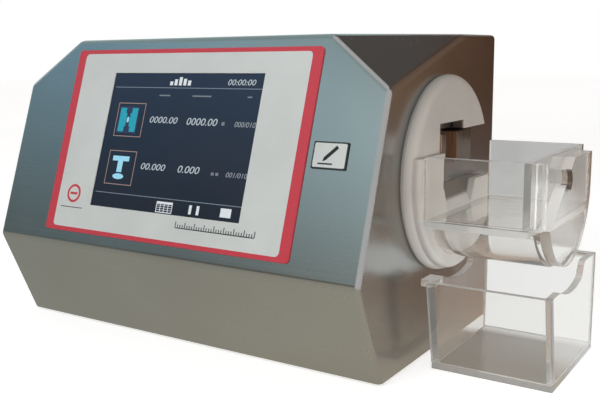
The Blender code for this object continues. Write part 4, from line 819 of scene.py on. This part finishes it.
def print_text(name, entries, lift, material):
    """Plain numbers: each entry is a text and the panel rectangle that it fills."""
    bm = bmesh.new()
    for text, u_range, v_range in entries:
        curve = bpy.data.curves.new(name, "FONT")
        curve.body = text
        curve.shear = TEXT_SLANT
        curve.extrude = TEXT_EXTRUDE
        holder = add_object(name, curve)
        bpy.context.view_layer.update()
        graph = bpy.context.evaluated_depsgraph_get()
        mesh = bpy.data.meshes.new_from_object(holder.evaluated_get(graph))
        bpy.data.objects.remove(holder)
        low = [min(vert.co[axis] for vert in mesh.vertices) for axis in range(3)]
        high = [max(vert.co[axis] for vert in mesh.vertices) for axis in range(3)]
        for vert in mesh.vertices:
            shares = [(vert.co[axis] - low[axis]) / (high[axis] - low[axis]) for axis in range(3)]
            u = u_range[0] + (u_range[1] - u_range[0]) * shares[0]
            v = v_range[0] + (v_range[1] - v_range[0]) * shares[1]
            vert.co = on_panel(u, v, lift + PRINT_THICKNESS * shares[2])
        bm.from_mesh(mesh)
    mesh_piece(name, bm, material)


def overlay_outline(side, top):
    """Outline of the overlay, smaller by a margin at its sides and at its top and bottom."""
    across = inside((-OVERLAY_HALF_WIDTH, OVERLAY_HALF_WIDTH), side)
    return rounded(across, inside((OVERLAY_LOW, OVERLAY_HIGH), top), BORDER_RADIUS)


def make_overlay_print():
    """Red border and edge, the mark of a scored tablet with a rule, and the scale under the screen."""
    lift = OVERLAY_FACE + PRINT_LIFT
    border = [overlay_outline(0, 0), overlay_outline(BORDER_SIDE, BORDER_TOP)]
    print_bands("overlay_border", [border], lift, RED_INK)
    edge = [overlay_outline(margin, margin) for margin in (-EDGE_BAND_OUT, EDGE_BAND_IN)]
    print_bands("overlay_edge", [edge], EDGE_BAND_LOW, RED_INK, lift - EDGE_BAND_LOW)

    radii = (TABLET_MARK_RADIUS, TABLET_MARK_RADIUS - TABLET_MARK_LINE)
    ring = [oval(TABLET_MARK, radius, radius) for radius in radii]
    print_bands("tablet_mark_ring", [ring], lift, RED_INK)
    reach = radii[1] * TABLET_SCORE_SHARE
    score = bar((TABLET_MARK[0] - reach, TABLET_MARK[0] + reach),
                (TABLET_MARK[1] - TABLET_MARK_LINE / 2, TABLET_MARK[1] + TABLET_MARK_LINE / 2))
    print_shapes("tablet_mark_score", [score], lift, RED_INK)
    print_shapes("mark_rule", [bar(RULE_ACROSS, RULE_UP)], lift, BLACK_INK)

    ticks = [bar((SCALE_LEFT, SCALE_RIGHT), (SCALE_LOW - SCALE_LINE, SCALE_LOW))]
    for i in range(SCALE_STEPS + 1):
        u = SCALE_LEFT + (SCALE_RIGHT - SCALE_LEFT) * i / SCALE_STEPS
        height = SCALE_TICK if i % SCALE_LONG_EVERY else SCALE_LONG_TICK
        ticks.append(bar((u - SCALE_LINE / 2, u + SCALE_LINE / 2), (SCALE_LOW, SCALE_LOW + height)))
    print_shapes("scale_ticks", ticks, lift, BLACK_INK)


def make_stylus_print():
    """White plate in the black frame, with the picture of a pen that touches a line."""
    lift = OVERLAY_FACE + PRINT_LIFT
    across = inside(STYLUS_ACROSS, PLATE_MARGIN)
    up = inside(STYLUS_UP, PLATE_MARGIN)
    print_shapes("stylus_plate", [rounded(across, up, PLATE_MARGIN)], lift, FILM)
    width = across[1] - across[0]
    height = up[1] - up[0]

    def at(shares):
        return across[0] + width * shares[0], up[0] + height * shares[1]

    body = stroke(at(PEN_NECK), at(PEN_END), height * PEN_WIDTH)
    point = [at(PEN_TIP), body[0], body[3]]
    line = stroke(at(DRAWN_LINE[0]), at(DRAWN_LINE[1]), height * DRAWN_LINE_WIDTH)
    print_shapes("stylus_picture", [body, point, line], lift + PRINT_THICKNESS, BLACK_INK)


def at_screen(u_share, v_share):
    u = SCREEN_HALF_WIDTH * (2 * u_share - 1)
    v = SCREEN_LOW + (SCREEN_HIGH - SCREEN_LOW) * v_share
    return u, v


def screen_ranges(u_shares, v_shares):
    left, low = at_screen(u_shares[0], v_shares[0])
    right, high = at_screen(u_shares[1], v_shares[1])
    return (left, right), (low, high)


def screen_shapes(name, boxes, material, lift=PRINT_LIFT):
    print_shapes(name, [bar(*screen_ranges(*box)) for box in boxes], lift, material)


def screen_oval(name, points, material, lift):
    """Oval from its middle and the corner of the box around it."""
    (u, v), (side_u, side_v) = at_screen(*points[0]), at_screen(*points[1])
    print_shapes(name, [oval((u, v), side_u - u, side_v - v)], lift, material)


def make_screen_frames():
    """Lines under the heading and over the footer, and the frames of the two symbols."""
    screen_shapes("screen_lines", SCREEN_LINES, LIT_LINE)
    frames = []
    for v_shares in SYMBOL_HEIGHTS:
        outer = screen_ranges(SYMBOL_ACROSS, v_shares)
        inner = [inside(ends, FRAME_LINE) for ends in outer]
        frames.append((bar(*outer), bar(*inner)))
    print_bands("symbol_frames", frames, PRINT_LIFT, LIT_TAN)
    screen_shapes("symbol_ground", [SYMBOL_GROUND], WELL_BLUE)


def make_screen_symbols():
    """Upper symbol: two jaws that hold a tablet. Lower symbol: a gauge's plunger on a tablet."""
    lift = PRINT_LIFT + PRINT_THICKNESS
    screen_shapes("jaw_symbol", JAW_SYMBOL, LIT_TEAL, lift)
    screen_oval("jaw_symbol_tablet", JAW_TABLET, LIT_CYAN, lift)
    screen_shapes("gauge_symbol", GAUGE_SYMBOL, LIT_CYAN, lift)
    screen_oval("gauge_symbol_tablet", GAUGE_TABLET, LIT_CYAN, lift)


def make_screen_icons():
    """Heading picture, dim heading dashes, unit dots and the three keys of the footer."""
    bars = [(moved(HEADING_BAR, HEADING_BAR_STEP * i), (HEADING_BARS_LOW, top))
            for i, top in enumerate(HEADING_BAR_TOPS)]
    screen_shapes("heading_bars", bars, LIT_WHITE)
    screen_shapes("heading_dashes", HEADING_DASHES, LIT_GREY)
    screen_shapes("unit_marks", UNIT_MARKS, LIT_GREY)
    table = [(TABLE_ACROSS, TABLE_HEAD), (TABLE_ACROSS, TABLE_FOOT)]
    table += [(moved(COLUMN_ACROSS, COLUMN_STEP * i), COLUMN_UP) for i in range(COLUMNS)]
    table += [(TABLE_ACROSS, moved(ROW_UP, ROW_STEP * i)) for i in range(ROWS)]
    screen_shapes("table_key", table, LIT_WHITE)
    screen_shapes("pause_key", PAUSE_KEY, LIT_WHITE)
    screen_shapes("stop_key", STOP_KEY, LIT_WHITE)


def make_screen_numbers():
    tables = (("screen_numbers", NUMBERS, LIT_NUMBER), ("screen_counts", COUNTS, LIT_DIM))
    for name, rows, material in tables:
        entries = [(text, *screen_ranges(*shares)) for text, *shares in rows]
        print_text(name, entries, PRINT_LIFT, material)


make_overlay_print()
make_stylus_print()
make_screen_frames()
make_screen_symbols()
make_screen_icons()
make_screen_numbers()


def make_gasket():
    """Pale seal between the surround and the housing's side, open where the surround is open."""
    bm = bmesh.new()
    centre = HOUSING_PLACE + Vector((SIDE_FROM_MIDDLE, HOLE_Y, HOLE_Z))
    rings = []
    for radius in (GASKET_INNER, GASKET_OUTER):
        for level in (0, GASKET_THICKNESS):
            points = arc(radius, GASKET_START, GASKET_END, GASKET_STEPS)
            rings.append([bm.verts.new(centre + Vector((level, y, z))) for y, z in points])
    inner_low, inner_high, outer_low, outer_high = rings
    around = (inner_low, inner_high, outer_high, outer_low)
    for i in range(GASKET_STEPS):
        for a, b in zip(around, around[1:] + around[:1]):
            bm.faces.new((a[i], a[i + 1], b[i + 1], b[i]))
    for i in (0, GASKET_STEPS):
        bm.faces.new([ring[i] for ring in around])
    mesh_piece("surround_gasket", bm, GASKET)


def add_rod(bm, place, radius, length, steps):
    """Round or many-sided rod that stands out of the rear panel."""
    add_solid(bm, [[bm.verts.new(place + Vector((x, level, z))) for x, z in circle(radius, steps)]
                   for level in (0, length)])


def add_block(bm, centre, size, turn=Matrix.Identity(3)):
    made = bmesh.ops.create_cube(bm, size=1.0)
    for vert in made["verts"]:
        vert.co = centre + turn @ Vector([vert.co[axis] * size[axis] for axis in range(3)])


def rear_place(x, y, z):
    return HOUSING_PLACE + Vector((x, y, z))


def make_screw_crosses():
    """Heads of the inlet's screws, and cross recesses in these and in the panel's screws."""
    places = []
    for number in range(1, REAR_SCREWS + 1):
        low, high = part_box("rear_screw_%d" % number)
        places.append(Vector(((low.x + high.x) / 2, high.y, (low.z + high.z) / 2)))
    heads = bmesh.new()
    for side in (-1, 1):
        place = rear_place(INLET_X + side * INLET_SCREW_SPREAD, INLET_FACE_Y, FITTING_Z)
        add_rod(heads, place, SCREW_RADIUS, SCREW_HEAD, SCREW_STEPS)
        places.append(place + Vector((0, SCREW_HEAD, 0)))
    mesh_piece("inlet_screws", heads, BRIGHT)
    crosses = bmesh.new()
    depth = 2 * CROSS_LIFT
    for number, place in enumerate(places):
        turn = Matrix.Rotation(math.radians(CROSS_TURN + CROSS_TURN_STEP * number), 3, "Y")
        add_block(crosses, place, (CROSS_LENGTH, depth, CROSS_WIDTH), turn)
        add_block(crosses, place, (CROSS_WIDTH, depth, CROSS_LENGTH), turn)
    mesh_piece("screw_crosses", crosses, BLACK_INK)


def make_port_details():
    """Hexagonal posts beside the ports, and a dark insert with two rows of contacts in each."""
    posts, holes, inserts, contacts = bmesh.new(), bmesh.new(), bmesh.new(), bmesh.new()
    for x in PORT_X:
        for side in (-1, 1):
            place = rear_place(x + side * POST_SPREAD, PORT_FACE_Y, FITTING_Z)
            add_rod(posts, place, POST_RADIUS, POST_LENGTH, POST_SIDES)
            hole_place = place + Vector((0, POST_LENGTH, 0))
            add_rod(holes, hole_place, POST_HOLE, CROSS_LIFT, POST_HOLE_STEPS)
        add_block(inserts, rear_place(x, PORT_FACE_Y, FITTING_Z), PORT_INSERT)
        for count, row in CONTACT_ROWS:
            for i in range(count):
                place = rear_place(x + (i - (count - 1) / 2) * CONTACT_PITCH, PORT_FACE_Y, FITTING_Z + row)
                add_rod(contacts, place, CONTACT_RADIUS, CONTACT_LENGTH, CONTACT_STEPS)
    mesh_piece("port_posts", posts, BRIGHT)
    mesh_piece("port_post_holes", holes, BLACK_INK)
    mesh_piece("port_inserts", inserts, BLACK)
    mesh_piece("port_contacts", contacts, BRASS)


def make_rocker_marks():
    """Bar and ring on the rocker, for on and off."""
    rocker = NODES["switch_rocker"]
    low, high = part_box("switch_rocker")
    middle_x = (low.x + high.x) / 2
    height = high.z - low.z
    reach = height * ROCKER_MARK_REACH
    surface = rocker.evaluated_get(bpy.context.evaluated_depsgraph_get())
    to_rocker = rocker.matrix_world.inverted()

    def on_rocker(x, z, lift):
        start = to_rocker @ Vector((middle_x + x, high.y + ROCKER_SEARCH, z))
        ray = (to_rocker.to_3x3() @ Vector(TO_FRONT)).normalized()
        found, hit, normal, _ = surface.ray_cast(start, ray)
        return rocker.matrix_world @ (hit + normal * lift) if found else None

    bm = bmesh.new()
    line = bar((-ROCKER_MARK_LINE, ROCKER_MARK_LINE), (-reach, reach))
    rims = [circle(reach + swing, ROCKER_RING_STEPS) for swing in (-ROCKER_MARK_LINE, ROCKER_MARK_LINE)]
    for outlines, share in (([line], ROCKER_BAR), (rims, ROCKER_RING)):
        z = low.z + height * share
        add_solid(bm, [[bm.verts.new(on_rocker(u, z + v, lift)) for u, v in outline]
                       for lift in (ROCKER_MARK_SINK, ROCKER_MARK_LIFT) for outline in outlines])
    mesh_piece("rocker_marks", bm, WHITE_INK, "rocker")


make_gasket()
make_screw_crosses()
make_port_details()
make_rocker_marks()


def as_seen_in_acrylic(look, path, mirrored, beyond_walls, in_clear):
    """Colour of a stage surface in plain mirrors, in metal beyond acrylic walls and in acrylic itself."""
    through_walls = look.maths("GREATER_THAN", path["Transmission Depth"], THROUGH_WALLS)
    browner = look.mix(1.0, beyond_walls, THROUGH_WALLS_TINT, "MULTIPLY")
    paler = look.mix(PALE_IN_CLEAR_SHARE, browner, IN_CLEAR_EDGES)
    through = look.mix(through_walls, in_clear, paler)
    return look.mix(path["Is Transmission Ray"], mirrored, through)


def stage_sheet(name, segments, half):
    """Flat square of the given half side, for the floor or a card."""
    bm = bmesh.new()
    bmesh.ops.create_grid(bm, x_segments=segments, y_segments=segments, size=half)
    return mesh_object(name, bm)


def bench_colour(look, spot, path):
    """What metal mirrors of the floor: a dim warm bench, brown behind, and white beside the box."""
    to_right = look.span(spot["X"], BENCH_RIGHT_ENDS)
    to_back = look.span(spot["Y"], BENCH_BACK_ENDS)
    front = look.mix(to_right, BENCH_FRONT_LEFT, BENCH_FRONT_RIGHT)
    beside = look.mix(look.span(spot["Y"], BENCH_FAR_ENDS), BENCH_BACK, BENCH_FAR)
    sideways = look.along(look.place(), BESIDE_SLOPE)
    back = look.mix(look.span(sideways, BESIDE_ENDS), BENCH_REAR, beside)
    bench = look.mix(to_back, front, back)
    to_white = look.times(look.span(sideways, WHITE_SIDE_ENDS),
                          look.span(spot["Y"], WHITE_BACK_ENDS, 1, 0))
    to_white = look.times(to_white, look.span(spot["Y"], WHITE_FRONT_ENDS))
    mirrored = look.mix(to_white, bench, BENCH_RIGHT)
    in_clear = look.mix(to_white, IN_CLEAR_EDGES, BENCH_RIGHT)
    return as_seen_in_acrylic(look, path, mirrored, bench, in_clear)


def colour_behind(look, spot):
    """What acrylic shows of the floor: dark under the box, white behind it, grey behind the trough."""
    far = look.span(look.along(look.place(), VIEW_ACROSS_FLOOR), BEHIND_TROUGH_ENDS)
    past_box = look.span(spot["Y"], moved(UNDER_BOX_ENDS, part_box("box_floor")[1].y))
    behind_trough = look.mix(look.span(spot["X"], END_PLATE_ENDS), BEHIND_TROUGH, BEHIND_END_PLATE)
    behind = look.mix(past_box, UNDER_BOX, look.mix(far, BEHIND_BOX, behind_trough))
    patch_start = look.span(spot["Y"], (PATCH_FRONT, PATCH_FRONT + PATCH_BLUR))
    patch_end = look.span(spot["Y"], (PATCH_BACK - PATCH_BLUR, PATCH_BACK), 1, 0)
    patch_side = look.span(spot["X"], (PATCH_LEFT, PATCH_LEFT + PATCH_BLUR))
    patch = look.times(look.times(patch_start, patch_end), patch_side)
    return look.mix(patch, behind, BROWN_PATCH)


def make_floor():
    """Pale floor: white with the shadow kept, and other colours for what metal and acrylic show of it."""
    floor = stage_sheet("floor", segments=2, half=6.0)
    look = Look("pale_floor")
    seen = look.any_ray("Is Camera Ray", "Is Transmission Ray")
    look.set(Base_Color=(0.86, 0.86, 0.86), Roughness=0.9, Emission_Color=(1, 1, 1))
    look.set(Emission_Strength=look.times(seen, FLOOR_WHITE))
    spot = look.axes(look.place())
    path = look.node("ShaderNodeLightPath").outputs
    bench = look.node("ShaderNodeEmission", {"Color": bench_colour(look, spot, path)})
    mirrored = look.maths("GREATER_THAN", path["Glossy Depth"], MIRRORED)
    shown = look.mix_shaders(mirrored, look.shader, bench)
    behind = look.node("ShaderNodeEmission", {"Color": colour_behind(look, spot)})
    through = look.times(path["Is Transmission Ray"], look.maths("SUBTRACT", 1.0, mirrored))
    look.show(look.mix_shaders(through, shown, behind))
    floor.data.materials.append(look.material)


def make_world():
    """White where it is seen, and less for the light on the object."""
    world = bpy.data.worlds.new("studio")
    bpy.context.scene.world = world
    nodes = Nodes(world)
    seen = nodes.any_ray("Is Camera Ray", "Is Glossy Ray", "Is Transmission Ray")
    nodes.feed(nodes.tree.nodes["Background"].inputs["Color"], nodes.mix(seen, WORLD_LIGHT, (1, 1, 1)))


def add_card(name, place, target, size, colours, across, upwards):
    """Studio card that only the reflections show."""
    card = stage_sheet(name, segments=1, half=CARD_HALF)
    card.location = place
    card.scale = (*size, 1)
    card.rotation_mode = "QUATERNION"
    card.rotation_quaternion = (target - place).to_track_quat("Z", "Y")
    look = Look(name)
    spot = look.axes(look.place())
    to_right = look.span(spot["X"], moved(across, -CARD_HALF))
    to_top = look.span(spot["Y"], moved(upwards, -CARD_HALF))
    low = look.mix(to_right, colours[0], colours[1])
    high = look.mix(to_right, colours[2], colours[3])
    path = look.node("ShaderNodeLightPath").outputs
    colour = look.mix(to_top, low, high)
    colour = as_seen_in_acrylic(look, path, colour, colour, IN_CLEAR_EDGES)
    glow = look.node("ShaderNodeEmission", {"Color": colour})
    passed = look.node("ShaderNodeBsdfTransparent")
    mirrored = look.maths("GREATER_THAN", path["Glossy Depth"], MIRRORED)
    look.show(look.mix_shaders(mirrored, passed, glow))
    card.data.materials.append(look.material)
    card.visible_camera = card.visible_diffuse = card.visible_shadow = False


def make_cards():
    centre = HOUSING_PLACE + Vector((0, HOUSING_DEPTH / 2, HOUSING_HEIGHT / 2))
    for name, offset, *settings in CARDS:
        add_card(name, HOUSING_PLACE + Vector(offset), centre, *settings)


def add_lamp(name, place, target, size, power, colour):
    data = bpy.data.lights.new(name, "AREA")
    data.shape = "RECTANGLE"
    data.size, data.size_y = size
    data.energy = power
    data.color = colour
    lamp = add_object(name, data)
    lamp.location = place
    lamp.rotation_mode = "QUATERNION"
    lamp.rotation_quaternion = (Vector(target) - Vector(place)).to_track_quat("-Z", "Y")
    lamp.visible_glossy = False


def make_camera():
    forward = Vector((
        -math.sin(CAMERA_YAW) * math.cos(CAMERA_PITCH),
        math.cos(CAMERA_YAW) * math.cos(CAMERA_PITCH),
        -math.sin(CAMERA_PITCH)))
    level = Vector((math.cos(CAMERA_YAW), math.sin(CAMERA_YAW), 0))
    upright = level.cross(forward)
    right = level * math.cos(CAMERA_ROLL) + upright * math.sin(CAMERA_ROLL)
    up = upright * math.cos(CAMERA_ROLL) - level * math.sin(CAMERA_ROLL)
    data = bpy.data.cameras.new("camera")
    data.sensor_width = CAMERA_SENSOR
    data.lens = CAMERA_LENS
    camera = add_object("camera", data)
    turn = Matrix((right, up, -forward)).transposed().to_4x4()
    camera.matrix_world = Matrix.Translation(HOUSING_PLACE + CAMERA_PLACE) @ turn
    bpy.context.scene.camera = camera


make_floor()
make_world()
make_cards()
for lamp in LAMPS:
    add_lamp(*lamp)
make_camera()
bpy.context.scene.view_settings.view_transform = "Standard"
